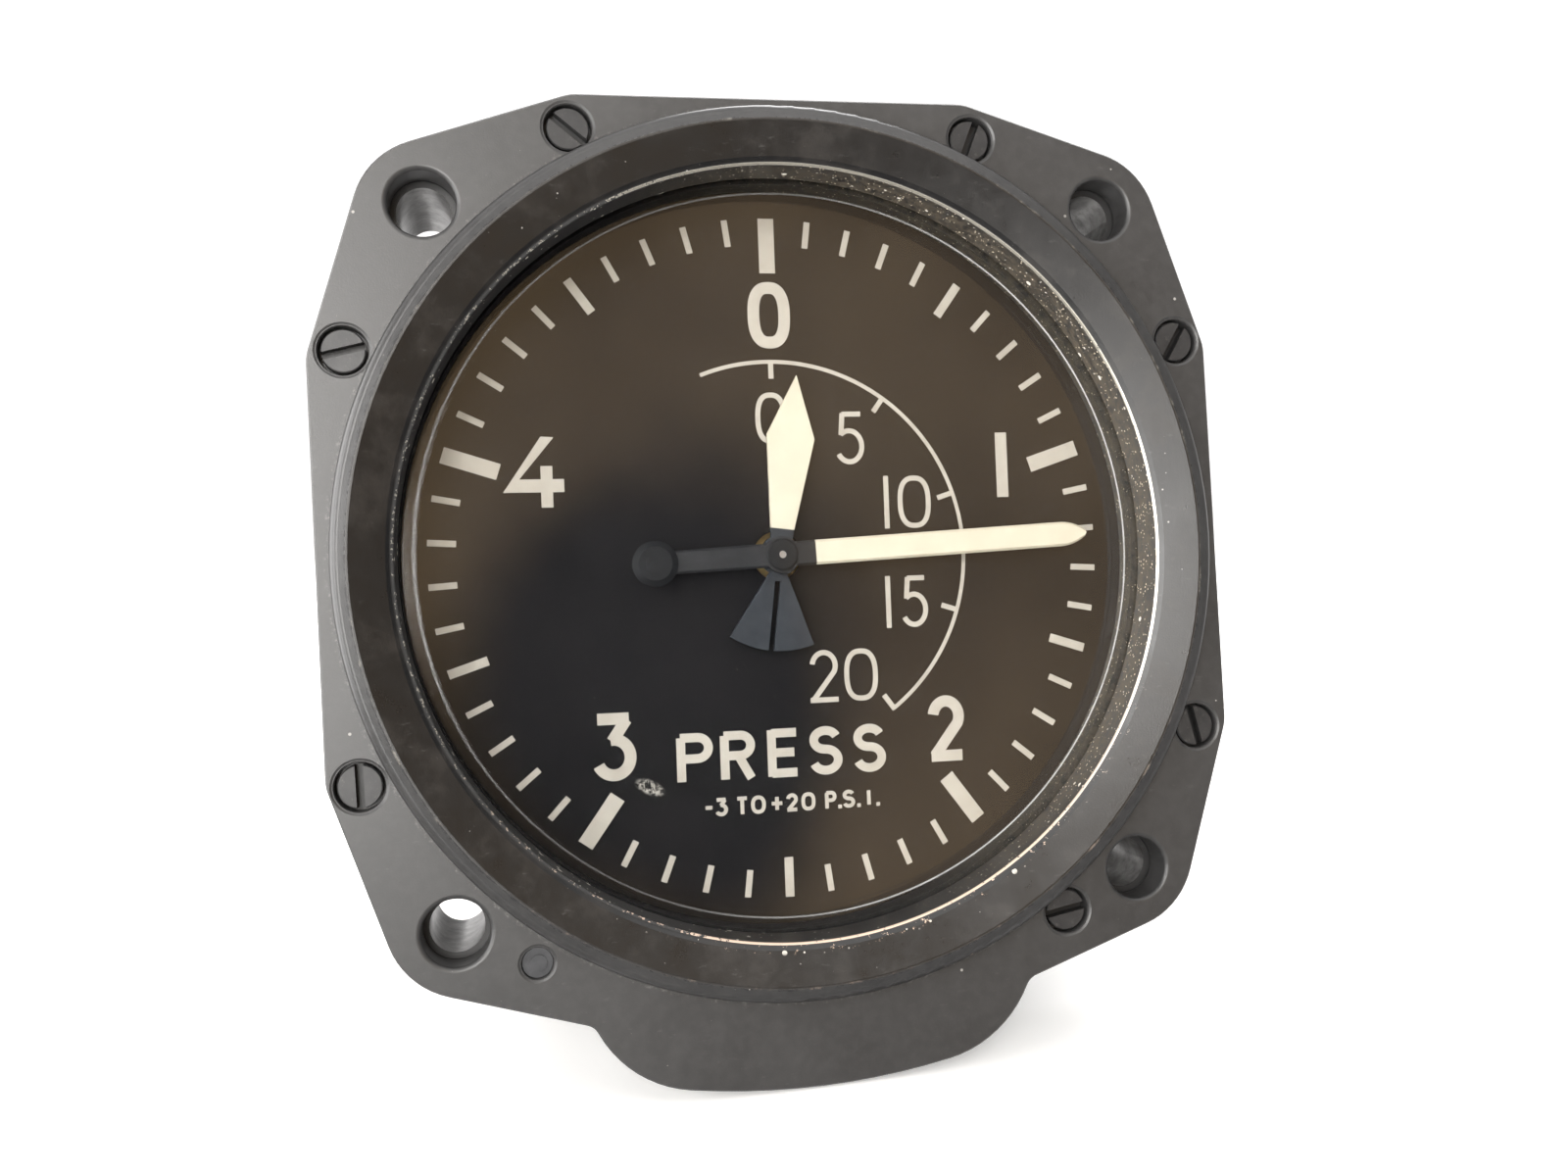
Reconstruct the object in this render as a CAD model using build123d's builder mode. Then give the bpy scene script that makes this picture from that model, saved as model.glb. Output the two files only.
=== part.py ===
from build123d import *
import math
import os

os.makedirs("parts", exist_ok=True)

# ---------------------------------------------------------------------------
# Panel-mounted two-pointer pressure gauge, millimetres.
# X right, Z up, Y inward (depth).  The dial faces -Y.  The origin is on the
# pointer axis, in the front face of the mounting flange.
# ---------------------------------------------------------------------------

# mounting flange, about 3.25 in square with four ears and a lower lobe
FLANGE_HALF = 41.27          # half height across the flats
WIDE = 1.0055                # the plate is this much wider than high
FLANGE_T = 3.0
FLAT_HALF = 18.2             # half length of each straight side
EAR_SLOPE = math.radians(18.0)
EAR_R = 7.4
HOLE_HALF = 31.42            # 2.474 in hole square
HOLE_R = 2.9                 # clearance hole in the flange
HOLE_ROUND = 0.42
LUG_HOLE_R = 2.4             # hole through the case lug behind it
LUG_R = 4.7
LUG_Y1 = 16.6
LOBE_X1, LOBE_Z1 = 20.2, -40.4
LOBE_X2, LOBE_Z2 = 12.0, -47.15
LOBE_BOTTOM = -48.2

# raised ring around the window
RING_R = 40.25
RING_TOP_R = 38.65
RING_TOP_Y = -1.92
RING_EDGE_Y = -0.95          # the outer shoulder is rounded down to here
LIP_R = 35.72
LIP_Y = -0.80
BORE_R = 35.05
BORE_TOP_Y = -0.24
SHOULDER_Y = 3.3             # glass side of the shoulder
POCKET_R = 36.9
SPIGOT_R = 38.25
SPIGOT_END_Y = 9.0

# rim screws: centre (x, z) and slot direction as the viewer sees it, from +X
RIM_SCREWS = [
    ((18.79, 37.92), 67.0), ((38.52, 18.70), 58.0), ((38.36, -18.43), 103.0), ((24.13, -34.76), 9.0),
    ((-38.72, -18.37), 91.0), ((-38.46, 18.68), 13.0), ((-18.60, 38.22), 140.0),
]
RIM_SPOTS = [spot for spot, slot in RIM_SCREWS]
SEAL_SPOT = (-24.71, -34.66)
RIM_HEAD_R = 1.88
RIM_HEAD_Y = 0.32
RIM_RECESS_R = 2.12
RIM_HEAD_H = 1.8
RIM_SHANK_R = 1.25
RIM_END_Y = 6.2
SEAL_R = 1.36
RECESS_ROUND = 0.22

# glass stack
GLASS_R = 36.6
GLASS_Y0, GLASS_Y1 = 3.55, 5.75
REAR_GASKET_Y1 = 6.35
RETAIN_Y1 = 8.45
RETAIN_R = 35.2

# dial
DIAL_Y0, DIAL_Y1 = 9.45, 10.25
DIAL_R = 37.0
DIAL_HOLE_R = 2.4

# case
CASE_GASKET_T = 0.5
CASE_Y0 = FLANGE_T + CASE_GASKET_T
CASE_FLANGE_T = 3.0
CASE_R = 39.65
CASE_IN_R = 37.9
CASE_REG_R = 38.3
CASE_REG_Y = 9.3
CASE_WALL_Y0, CASE_WALL_Y1 = 84.0, 87.0
CASE_FLANGE_R = 45.3
CASE_FLANGE_HALF = 40.9

# chassis plates
PLATE_R = 33.0
FP_Y0, FP_Y1 = 16.5, 18.5     # movement front plate
BP_Y0, BP_Y1 = 32.0, 34.0     # movement back plate
RP_Y0, RP_Y1 = 75.0, 78.0     # chassis rear plate
PILLAR_XZ = 20.2
PILLAR_R = 2.25
CHASSIS_SCREW_R = 1.5
FOOT_PCR = 29.0
FOOT_ANGLES = [180.0, 60.0, -60.0]

# gear train
MOD = 0.3
N_CANNON, N_INTER = 12, 40
N_IPIN, N_SLEEVE = 13, 39
N_CENTRE, N_SECOND = 14, 84
N_SPIN, N_SECTOR = 14, 84
INTER_DIR = 150.0             # direction of the intermediate stud from the centre
INTER_D = MOD * (N_CANNON + N_INTER) / 2
TRAIN_D = MOD * (N_CENTRE + N_SECOND) / 2
ROCK_X, ROCK_Z = 5.0, 9.0
ARM_L = 5.0
SECTOR_HALF = 28.5
TRAVEL_DEG = 1656.0           # long pointer, full scale -3 to +20
DIAL_ROLL = 0.9               # the dial and pointers sit this far clockwise of the flange
REST_DEG = 87.4               # long pointer at rest, clockwise from the top
SHORT_DEG = 7.4               # short pointer at rest
LOW_DEG = -216.0              # long pointer at the low end of the scale

# capsule
CAP_Y = 54.0
CAP_R = 16.5
CAP_Z0, CAP_Z1 = -26.5, -6.5
CAP_WALL = 0.25
LINK_L = 9.5

# union
UNION_Z = -24.0
UNION_THREAD_R = 6.58
UNION_BORE_R = 2.5


def at(y):
    """Sketch plane at depth y, seen as the viewer sees it (x right, z up); extruding goes towards the viewer."""
    return Plane.XZ.offset(-y)


def polar(r, deg, cx=0.0, cz=0.0):
    a = math.radians(deg)
    return (cx + r * math.cos(a), cz + r * math.sin(a))


def inv(a):
    return math.tan(a) - a


def tooth_half_angle(n, r, thin):
    """Half the angle that one involute tooth fills at radius r."""
    rp = MOD * n / 2
    rb = rp * math.cos(math.radians(20))
    at_pitch = math.pi / (2 * n) - thin / (2 * rp)
    if r > rb:
        return at_pitch + inv(math.radians(20)) - inv(math.acos(rb / r))
    base = at_pitch + inv(math.radians(20))
    return base * (0.80 + 0.20 * (r / rb))


def gear_points(n, tooth_deg, first=0, last=None, add=0.85, ded=1.2, thin=0.035):
    """Outline points of n teeth, one tooth centred on tooth_deg (math angle)."""
    rp = MOD * n / 2
    ra, rf = rp + add * MOD, rp - ded * MOD
    radii = [rf, rp - 0.45 * MOD, rp, rp + 0.45 * MOD, ra]
    pts = []
    last = n - 1 if last is None else last
    for k in range(first, last + 1):
        c = math.radians(tooth_deg + 360.0 * k / n)
        for r in radii:
            a = c - tooth_half_angle(n, r, thin)
            pts.append((r * math.cos(a), r * math.sin(a)))
        for r in reversed(radii):
            a = c + tooth_half_angle(n, r, thin)
            pts.append((r * math.cos(a), r * math.sin(a)))
    return pts


# derived positions -----------------------------------------------------------
d_rock = math.hypot(ROCK_X, ROCK_Z)
off = math.sqrt(TRAIN_D ** 2 - (d_rock / 2) ** 2)
SEC_X = ROCK_X / 2 + off * ROCK_Z / d_rock
SEC_Z = ROCK_Z / 2 - off * ROCK_X / d_rock
DIR_CENTRE_SECOND = math.degrees(math.atan2(SEC_Z, SEC_X))
DIR_ROCK_SECOND = math.degrees(math.atan2(SEC_Z - ROCK_Z, SEC_X - ROCK_X))
INTER_X, INTER_Z = polar(INTER_D, INTER_DIR)
ROCK_TRAVEL = TRAVEL_DEG * N_CENTRE / N_SECOND * N_SPIN / N_SECTOR
ROCK_REST = (REST_DEG - LOW_DEG) / 36.0 - ROCK_TRAVEL / 2        # negative: before mid travel
ARM_DIR = 180.0 - ROCK_REST                                       # arm is level at mid travel
PIN_X, PIN_Z = polar(ARM_L, ARM_DIR, ROCK_X, ROCK_Z)
SECTOR_DIR = DIR_ROCK_SECOND - ROCK_REST
FORK_PIN_X, FORK_PIN_Z = 0.2, PIN_Z - LINK_L
PILLARS = [(sx * PILLAR_XZ, sz * PILLAR_XZ) for sx in (-1, 1) for sz in (-1, 1)]
HOLES = [(sx * HOLE_HALF, sz * HOLE_HALF) for sx in (-1, 1) for sz in (-1, 1)]
FEET = [polar(FOOT_PCR, a) for a in FOOT_ANGLES]
print("second arbor", round(SEC_X, 3), round(SEC_Z, 3), "intermediate", round(INTER_X, 3), round(INTER_Z, 3))
print("arm pin", round(PIN_X, 3), round(PIN_Z, 3), "rock rest", round(ROCK_REST, 3), "fork pin z", round(FORK_PIN_Z, 3))

# ===========================================================================
# Bezel: flange plate, ears, lobe, raised ring and rear spigot in one casting
# ===========================================================================
ear = (FLANGE_HALF + FLAT_HALF * math.tan(EAR_SLOPE)) / (1 + math.tan(EAR_SLOPE))
flange_pts = [(x * WIDE, z) for x, z in (
    (FLAT_HALF, FLANGE_HALF), (ear, ear), (FLANGE_HALF, FLAT_HALF),
    (FLANGE_HALF, -FLAT_HALF), (ear, -ear), (FLAT_HALF, -FLANGE_HALF),
    (-FLAT_HALF, -FLANGE_HALF), (-ear, -ear), (-FLANGE_HALF, -FLAT_HALF),
    (-FLANGE_HALF, FLAT_HALF), (-ear, ear), (-FLAT_HALF, FLANGE_HALF),
)]

with BuildPart() as bezel:
    with BuildSketch(at(FLANGE_T)) as flange_face:
        with BuildLine():
            Polyline(*flange_pts, close=True)
        make_face()
        fillet([v for v in flange_face.vertices() if abs(abs(v.X) - ear * WIDE) < 0.5 and abs(abs(v.Y) - ear) < 0.5], radius=EAR_R)
        fillet([v for v in flange_face.vertices() if abs(abs(v.X) - FLAT_HALF * WIDE) < 0.01 or abs(abs(v.Y) - FLAT_HALF) < 0.01], radius=4.0)
        with BuildLine():
            bottom = ThreePointArc((-LOBE_X2, LOBE_Z2), (0, LOBE_BOTTOM), (LOBE_X2, LOBE_Z2))
            right = TangentArc((LOBE_X2, LOBE_Z2), (LOBE_X1, LOBE_Z1), tangent=(bottom % 1))
            up_r = Line(right @ 1, (LOBE_X1 - 1.5, -34.0))
            up_l = Line((LOBE_X1 * -1 + 1.5, -34.0), (-LOBE_X1, LOBE_Z1))
            left = TangentArc((-LOBE_X2, LOBE_Z2), (-LOBE_X1, LOBE_Z1), tangent=(bottom % 0) * -1)
            Line(up_r @ 1, up_l @ 0)
        make_face()
        fillet([v for v in flange_face.vertices() if abs(abs(v.X) - LOBE_X1) < 0.6 and -41.5 < v.Y < -39.5], radius=1.6)
        Circle(37.5, mode=Mode.SUBTRACT)
    extrude(amount=FLANGE_T)
    rim_edges = bezel.faces().sort_by(Axis.Y)[0].outer_wire().edges()
    chamfer(rim_edges, length=0.15)
    rear_edges = bezel.faces().filter_by(Plane.XZ).sort_by(Axis.Y)[-1].outer_wire().edges()
    chamfer(rear_edges, length=0.2)
    # ring, shoulder and spigot
    with BuildSketch(Plane.XY):
        with BuildLine():
            Polyline(
                (SPIGOT_R, 1.0), (SPIGOT_R, SPIGOT_END_Y), (POCKET_R, SPIGOT_END_Y), (POCKET_R, SHOULDER_Y), (BORE_R, SHOULDER_Y),
                (BORE_R, BORE_TOP_Y), (BORE_R + 0.05, -0.38), (BORE_R + 0.15, -0.48), (LIP_R, LIP_Y), (RING_TOP_R, RING_TOP_Y),
                (RING_TOP_R + 0.2, RING_TOP_Y - 0.01), (RING_R - 0.78, -1.74))
            ThreePointArc((RING_R - 0.78, -1.74), (RING_R - 0.22, -1.45), (RING_R, RING_EDGE_Y))
            Polyline((RING_R, RING_EDGE_Y), (RING_R, 1.0), (SPIGOT_R, 1.0))
        make_face()
    revolve(axis=Axis.Y)
    # four mounting holes, then recesses and clearance holes for the rim screws
    with BuildSketch(at(FLANGE_T + 1)):
        with Locations(*HOLES):
            Circle(HOLE_R)
        with Locations(*RIM_SPOTS, SEAL_SPOT):
            Circle(1.35)
    extrude(amount=FLANGE_T + 2, mode=Mode.SUBTRACT)
    with BuildSketch(at(RIM_HEAD_H + 0.02)):
        with Locations(*RIM_SPOTS):
            Circle(RIM_RECESS_R)
        with Locations(SEAL_SPOT):
            Circle(SEAL_R)
    extrude(amount=RIM_HEAD_H + 0.02, mode=Mode.SUBTRACT)
    # the recess edges are broken in two small steps, so that they read as rounded
    for depth, slope in ((RECESS_ROUND * 0.42, -64), (RECESS_ROUND, -32)):
        with BuildSketch(at(depth)):
            with Locations(*RIM_SPOTS):
                Circle(RIM_RECESS_R + (0.13 if depth < RECESS_ROUND else 0.0))
            with Locations(SEAL_SPOT):
                Circle(SEAL_R + (0.13 if depth < RECESS_ROUND else 0.0))
        extrude(amount=depth, taper=slope, mode=Mode.SUBTRACT)
    # rounded front edges of the mounting holes
    front_edges = [e for e in bezel.edges().filter_by(GeomType.CIRCLE) if abs(e.center().Y) < 0.01 and abs(e.radius - HOLE_R) < 0.01]
    fillet(front_edges, radius=HOLE_ROUND)
bezel.part.label = "bezel"
export_step(bezel.part, "parts/bezel.step")

# ===========================================================================
# Glass, its two gaskets and the retaining ring behind it
# ===========================================================================
with BuildPart() as window_glass:
    with BuildSketch(at(GLASS_Y1)):
        Circle(GLASS_R)
    extrude(amount=GLASS_Y1 - GLASS_Y0)
    chamfer(window_glass.edges(), length=0.25)
window_glass.part.label = "window_glass"
export_step(window_glass.part, "parts/window_glass.step")

with BuildPart() as front_glass_gasket:
    with BuildSketch(at(GLASS_Y0)):
        Circle(GLASS_R)
        Circle(BORE_R + 0.1, mode=Mode.SUBTRACT)
    extrude(amount=GLASS_Y0 - SHOULDER_Y)
front_glass_gasket.part.label = "front_glass_gasket"
export_step(front_glass_gasket.part, "parts/front_glass_gasket.step")

with BuildPart() as rear_glass_gasket:
    with BuildSketch(at(REAR_GASKET_Y1)):
        Circle(GLASS_R)
        Circle(RETAIN_R - 0.1, mode=Mode.SUBTRACT)
    extrude(amount=REAR_GASKET_Y1 - GLASS_Y1)
rear_glass_gasket.part.label = "rear_glass_gasket"
export_step(rear_glass_gasket.part, "parts/rear_glass_gasket.step")

with BuildPart() as glass_retaining_ring:
    with BuildSketch(at(RETAIN_Y1)):
        Circle(POCKET_R - 0.05)
        Circle(RETAIN_R, mode=Mode.SUBTRACT)
    extrude(amount=RETAIN_Y1 - REAR_GASKET_Y1)
    # two spanner slots in the rear face
    with BuildSketch(at(RETAIN_Y1 + 0.01)):
        with Locations((0, POCKET_R - 0.5), (0, -POCKET_R + 0.5)):
            Rectangle(2.0, 1.2)
    extrude(amount=0.9, mode=Mode.SUBTRACT)
glass_retaining_ring.part.label = "glass_retaining_ring"
export_step(glass_retaining_ring.part, "parts/glass_retaining_ring.step")

# ===========================================================================
# Rim screws: seven slotted, one sealed
# ===========================================================================
with BuildPart() as bezel_screws:
    with BuildSketch(at(RIM_HEAD_H)):
        with Locations(*RIM_SPOTS):
            Circle(RIM_HEAD_R)
    extrude(amount=RIM_HEAD_H - RIM_HEAD_Y)
    chamfer(bezel_screws.faces().filter_by(Plane.XZ).group_by(Axis.Y)[0].edges(), length=0.10)
    with BuildSketch(at(RIM_END_Y)):
        with Locations(*RIM_SPOTS):
            Circle(RIM_SHANK_R)
    extrude(amount=RIM_END_Y - RIM_HEAD_H + 0.1)
    with BuildSketch(at(RIM_HEAD_Y + 1.0)):
        for spot, slot in RIM_SCREWS:
            with Locations(spot):
                Rectangle(2 * RIM_HEAD_R + 0.4, 0.70, rotation=slot)
    extrude(amount=1.4, mode=Mode.SUBTRACT)
bezel_screws.part.label = "bezel_screws"
export_step(bezel_screws.part, "parts/bezel_screws.step")

with BuildPart() as seal_screw:
    with BuildSketch(at(RIM_HEAD_H)):
        with Locations(SEAL_SPOT):
            Circle(SEAL_R - 0.05)
    extrude(amount=RIM_HEAD_H - 0.78)
    with BuildSketch(at(RIM_END_Y)):
        with Locations(SEAL_SPOT):
            Circle(RIM_SHANK_R)
    extrude(amount=RIM_END_Y - RIM_HEAD_H + 0.1)
seal_screw.part.label = "seal_screw"
export_step(seal_screw.part, "parts/seal_screw.step")

with BuildPart() as screw_seal:
    with BuildSketch(at(0.78)):
        with Locations(SEAL_SPOT):
            Circle(SEAL_R - 0.05)
    extrude(amount=0.36)
    with BuildSketch(at(0.45)):
        with Locations((SEAL_SPOT[0] + 0.1, SEAL_SPOT[1] - 0.05)):
            Circle(0.72)
    extrude(amount=0.11)
screw_seal.part.label = "screw_seal"
export_step(screw_seal.part, "parts/screw_seal.step")

# ===========================================================================
# Case gasket and case body
# ===========================================================================
with BuildPart() as case_gasket:
    with BuildSketch(at(CASE_Y0)):
        Circle(CASE_FLANGE_R)
        Rectangle(2 * CASE_FLANGE_HALF, 2 * CASE_FLANGE_HALF, mode=Mode.INTERSECT)
        with Locations(*HOLES):
            Circle(LUG_R)
        with PolarLocations(41.0, 4, start_angle=45):
            Rectangle(6.0, 2 * LUG_R - 0.6)
        Circle(CASE_REG_R + 0.1, mode=Mode.SUBTRACT)
        with Locations(*HOLES):
            Circle(HOLE_R + 0.05, mode=Mode.SUBTRACT)
        with Locations(*RIM_SPOTS, SEAL_SPOT):
            Circle(1.45, mode=Mode.SUBTRACT)
    extrude(amount=CASE_GASKET_T)
case_gasket.part.label = "case_gasket"
export_step(case_gasket.part, "parts/case_gasket.step")

with BuildPart() as case_body:
    with BuildSketch(Plane.XY):
        with BuildLine():
            Polyline(
                (0, CASE_WALL_Y0), (CASE_IN_R - 1.0, CASE_WALL_Y0), (CASE_IN_R, CASE_WALL_Y0 - 1.0),
                (CASE_IN_R, CASE_REG_Y), (CASE_REG_R, CASE_REG_Y), (CASE_REG_R, CASE_Y0),
                (CASE_R + 0.9, CASE_Y0), (CASE_R + 0.9, CASE_Y0 + CASE_FLANGE_T), (CASE_R, CASE_Y0 + CASE_FLANGE_T + 0.9),
                (CASE_R, CASE_WALL_Y1 - 2.2), (CASE_R - 0.65, CASE_WALL_Y1 - 0.65), (CASE_R - 2.2, CASE_WALL_Y1),
                (0, CASE_WALL_Y1), close=True)
        make_face()
    revolve(axis=Axis.Y)
    # screw flange, then a lug behind each ear
    with BuildSketch(at(CASE_Y0 + CASE_FLANGE_T)):
        Circle(CASE_FLANGE_R)
        Rectangle(2 * CASE_FLANGE_HALF, 2 * CASE_FLANGE_HALF, mode=Mode.INTERSECT)
        Circle(CASE_REG_R + 0.6, mode=Mode.SUBTRACT)
    extrude(amount=CASE_FLANGE_T)
    with BuildSketch(at(LUG_Y1)):
        with Locations(*HOLES):
            Circle(LUG_R)
        with PolarLocations(41.0, 4, start_angle=45):
            Rectangle(6.0, 2 * LUG_R - 0.6)
        Circle(CASE_REG_R + 0.6, mode=Mode.SUBTRACT)
    extrude(amount=LUG_Y1 - CASE_Y0)
    with BuildSketch(at(LUG_Y1 + 1)):
        with Locations(*HOLES):
            Circle(LUG_HOLE_R)
    extrude(amount=LUG_Y1 + 2, mode=Mode.SUBTRACT)
    with BuildSketch(at(CASE_Y0 + CASE_FLANGE_T + 1)):
        with Locations(*RIM_SPOTS, SEAL_SPOT):
            Circle(RIM_SHANK_R + 0.03)
    extrude(amount=CASE_FLANGE_T + 2, mode=Mode.SUBTRACT)
    # inner bosses for the chassis
    with BuildSketch(at(CASE_WALL_Y0 + 0.5)):
        with Locations(*PILLARS):
            Circle(4.2)
    extrude(amount=CASE_WALL_Y0 + 0.5 - RP_Y1)
    # raised pads at the rear for the union and the vent
    with BuildSketch(at(CASE_WALL_Y1 + 0.8)):
        with Locations((0, UNION_Z)):
            Circle(11.5)
        with Locations((0, 24.0)):
            Circle(6.0)
    extrude(amount=1.3)
    # three shallow stiffening beads around the barrel are turned as grooves
    for gy in (14.0, 48.0, 76.0):
        with BuildSketch(Plane.XY):
            with BuildLine():
                Polyline((CASE_R + 0.5, gy - 0.9), (CASE_R - 0.35, gy - 0.4), (CASE_R - 0.35, gy + 0.4), (CASE_R + 0.5, gy + 0.9), close=True)
            make_face()
        revolve(axis=Axis.Y, mode=Mode.SUBTRACT)
    # holes in the rear wall
    with BuildSketch(at(CASE_WALL_Y1 + 2)):
        with Locations(*PILLARS):
            Circle(CHASSIS_SCREW_R + 0.2)
    extrude(amount=CASE_WALL_Y1 + 3 - RP_Y1, mode=Mode.SUBTRACT)
    with BuildSketch(at(CASE_WALL_Y1 + 1)):
        with Locations(*PILLARS):
            Circle(3.6)
    extrude(amount=3.0, mode=Mode.SUBTRACT)
    with BuildSketch(at(CASE_WALL_Y1 + 2)):
        with Locations((0, UNION_Z)):
            Circle(5.2)
        with Locations((0, 24.0)):
            Circle(2.56)
    extrude(amount=8, mode=Mode.SUBTRACT)
case_body.part.label = "case_body"
export_step(case_body.part, "parts/case_body.step")

# ===========================================================================
# Chassis screws with sealing washers
# ===========================================================================
with BuildPart() as chassis_screw_washers:
    with BuildSketch(at(85.5)):
        with Locations(*PILLARS):
            Circle(3.3)
            Circle(1.6, mode=Mode.SUBTRACT)
    extrude(amount=0.5)
chassis_screw_washers.part.label = "chassis_screw_washers"
export_step(chassis_screw_washers.part, "parts/chassis_screw_washers.step")

with BuildPart() as chassis_screws:
    with BuildSketch(at(87.1)):
        with Locations(*PILLARS):
            Circle(2.75)
    extrude(amount=1.6)
    chamfer(chassis_screws.faces().filter_by(Plane.XZ).group_by(Axis.Y)[-1].edges(), length=0.35)
    with BuildSketch(at(85.6)):
        with Locations(*PILLARS):
            Circle(CHASSIS_SCREW_R)
    extrude(amount=85.6 - 68.0)
    with BuildSketch(at(87.2)):
        with Locations(*PILLARS):
            Rectangle(6.0, 0.8, rotation=35)
    extrude(amount=0.9, mode=Mode.SUBTRACT)
chassis_screws.part.label = "chassis_screws"
export_step(chassis_screws.part, "parts/chassis_screws.step")

# ===========================================================================
# Pressure union, its washer and lock nut; vent plug and filter disc
# ===========================================================================
with BuildPart() as pressure_union:
    with BuildSketch(at(94.0)):
        with Locations((0, UNION_Z)):
            RegularPolygon(9.5, 6, major_radius=False, rotation=30)
    extrude(amount=94.0 - 89.2)
    with BuildSketch(at(94.3)):
        with Locations((0, UNION_Z)):
            Circle(9.3)
    extrude(amount=5.1, mode=Mode.INTERSECT, taper=-30)
    with BuildSketch(at(105.0)):
        with Locations((0, UNION_Z)):
            Circle(UNION_THREAD_R)
    extrude(amount=105.0 - 94.0)
    chamfer(pressure_union.faces().filter_by(Plane.XZ).sort_by(Axis.Y)[-1].edges(), length=0.8)
    with BuildSketch(at(94.0)):
        with Locations((0, UNION_Z)):
            Circle(5.15)
    extrude(amount=94.0 - 79.2)
    with BuildSketch(at(106.0)):
        with Locations((0, UNION_Z)):
            Circle(UNION_BORE_R)
    extrude(amount=106.0 - 83.0, mode=Mode.SUBTRACT)
    with BuildSketch(at(84.0)):
        with Locations((0, UNION_Z)):
            Circle(1.55)
    extrude(amount=6.0, mode=Mode.SUBTRACT)
pressure_union.part.label = "pressure_union"
export_step(pressure_union.part, "parts/pressure_union.step")

with BuildPart() as union_washer:
    with BuildSketch(at(89.2)):
        with Locations((0, UNION_Z)):
            Circle(9.0)
            Circle(5.25, mode=Mode.SUBTRACT)
    extrude(amount=89.2 - 87.8)
union_washer.part.label = "union_washer"
export_step(union_washer.part, "parts/union_washer.step")

with BuildPart() as union_lock_nut:
    with BuildSketch(at(84.0)):
        with Locations((0, UNION_Z)):
            RegularPolygon(7.5, 6, major_radius=False)
            Circle(5.2, mode=Mode.SUBTRACT)
    extrude(amount=3.2)
union_lock_nut.part.label = "union_lock_nut"
export_step(union_lock_nut.part, "parts/union_lock_nut.step")

with BuildPart() as vent_plug:
    with BuildSketch(at(91.8)):
        with Locations((0, 24.0)):
            RegularPolygon(4.5, 6, major_radius=False)
    extrude(amount=4.0)
    with BuildSketch(at(88.0)):
        with Locations((0, 24.0)):
            Circle(2.5)
    extrude(amount=4.6)
    with BuildSketch(at(92.0)):
        with Locations((0, 24.0)):
            Circle(2.2)
    extrude(amount=2.0, mode=Mode.SUBTRACT)
    with BuildSketch(at(92.0)):
        with Locations((0, 24.0)):
            Circle(0.8)
    extrude(amount=10.0, mode=Mode.SUBTRACT)
vent_plug.part.label = "vent_plug"
export_step(vent_plug.part, "parts/vent_plug.step")

with BuildPart() as vent_filter:
    with BuildSketch(at(90.8)):
        with Locations((0, 24.0)):
            Circle(2.15)
    extrude(amount=0.8)
vent_filter.part.label = "vent_filter"
export_step(vent_filter.part, "parts/vent_filter.step")

# ===========================================================================
# Dial with its feet and foot nuts
# ===========================================================================
with BuildPart() as dial:
    with BuildSketch(at(DIAL_Y1)):
        Circle(DIAL_R)
        Circle(DIAL_HOLE_R, mode=Mode.SUBTRACT)
    extrude(amount=DIAL_Y1 - DIAL_Y0)
dial.part.label = "dial"
export_step(dial.part, "parts/dial.step")

with BuildPart() as dial_feet:
    with BuildSketch(at(FP_Y0)):
        with Locations(*FEET):
            Circle(1.6)
    extrude(amount=FP_Y0 - DIAL_Y1)
    with BuildSketch(at(20.8)):
        with Locations(*FEET):
            Circle(0.95)
    extrude(amount=20.8 - FP_Y0 + 0.2)
dial_feet.part.label = "dial_feet"
export_step(dial_feet.part, "parts/dial_feet.step")

with BuildPart() as dial_foot_nuts:
    with BuildSketch(at(FP_Y1 + 1.5)):
        with Locations(*FEET):
            RegularPolygon(2.0, 6, major_radius=False)
            Circle(1.0, mode=Mode.SUBTRACT)
    extrude(amount=1.5)
dial_foot_nuts.part.label = "dial_foot_nuts"
export_step(dial_foot_nuts.part, "parts/dial_foot_nuts.step")

# ===========================================================================
# Movement plates, pillars, screws and pivot bushes
# ===========================================================================
BUSH_R = 1.8
PIVOT_C, PIVOT_S, PIVOT_R = 0.75, 0.5, 0.6

with BuildPart() as movement_front_plate:
    with BuildSketch(at(FP_Y1)):
        Circle(PLATE_R)
        with Locations(*PILLARS):
            Circle(1.3, mode=Mode.SUBTRACT)
        with Locations(*FEET):
            Circle(1.0, mode=Mode.SUBTRACT)
        with Locations((0, 0), (SEC_X, SEC_Z), (ROCK_X, ROCK_Z)):
            Circle(BUSH_R, mode=Mode.SUBTRACT)
        with Locations((INTER_X, INTER_Z)):
            Circle(1.2, mode=Mode.SUBTRACT)
        with Locations((-17, -8), (-6, -20)):
            Circle(5.0, mode=Mode.SUBTRACT)
    extrude(amount=FP_Y1 - FP_Y0)
movement_front_plate.part.label = "movement_front_plate"
export_step(movement_front_plate.part, "parts/movement_front_plate.step")

with BuildPart() as movement_back_plate:
    with BuildSketch(at(BP_Y1)):
        Circle(PLATE_R)
        with Locations(*PILLARS):
            Circle(1.25, mode=Mode.SUBTRACT)
        with Locations((0, 0), (SEC_X, SEC_Z)):
            Circle(BUSH_R, mode=Mode.SUBTRACT)
        with Locations((ROCK_X, ROCK_Z)):
            Circle(1.7, mode=Mode.SUBTRACT)
        with Locations((-6.0, -25.0), (6.0, -25.0)):
            Circle(1.05, mode=Mode.SUBTRACT)
        with Locations((-18, 4)):
            Circle(6.0, mode=Mode.SUBTRACT)
    extrude(amount=BP_Y1 - BP_Y0)
movement_back_plate.part.label = "movement_back_plate"
export_step(movement_back_plate.part, "parts/movement_back_plate.step")

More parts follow.
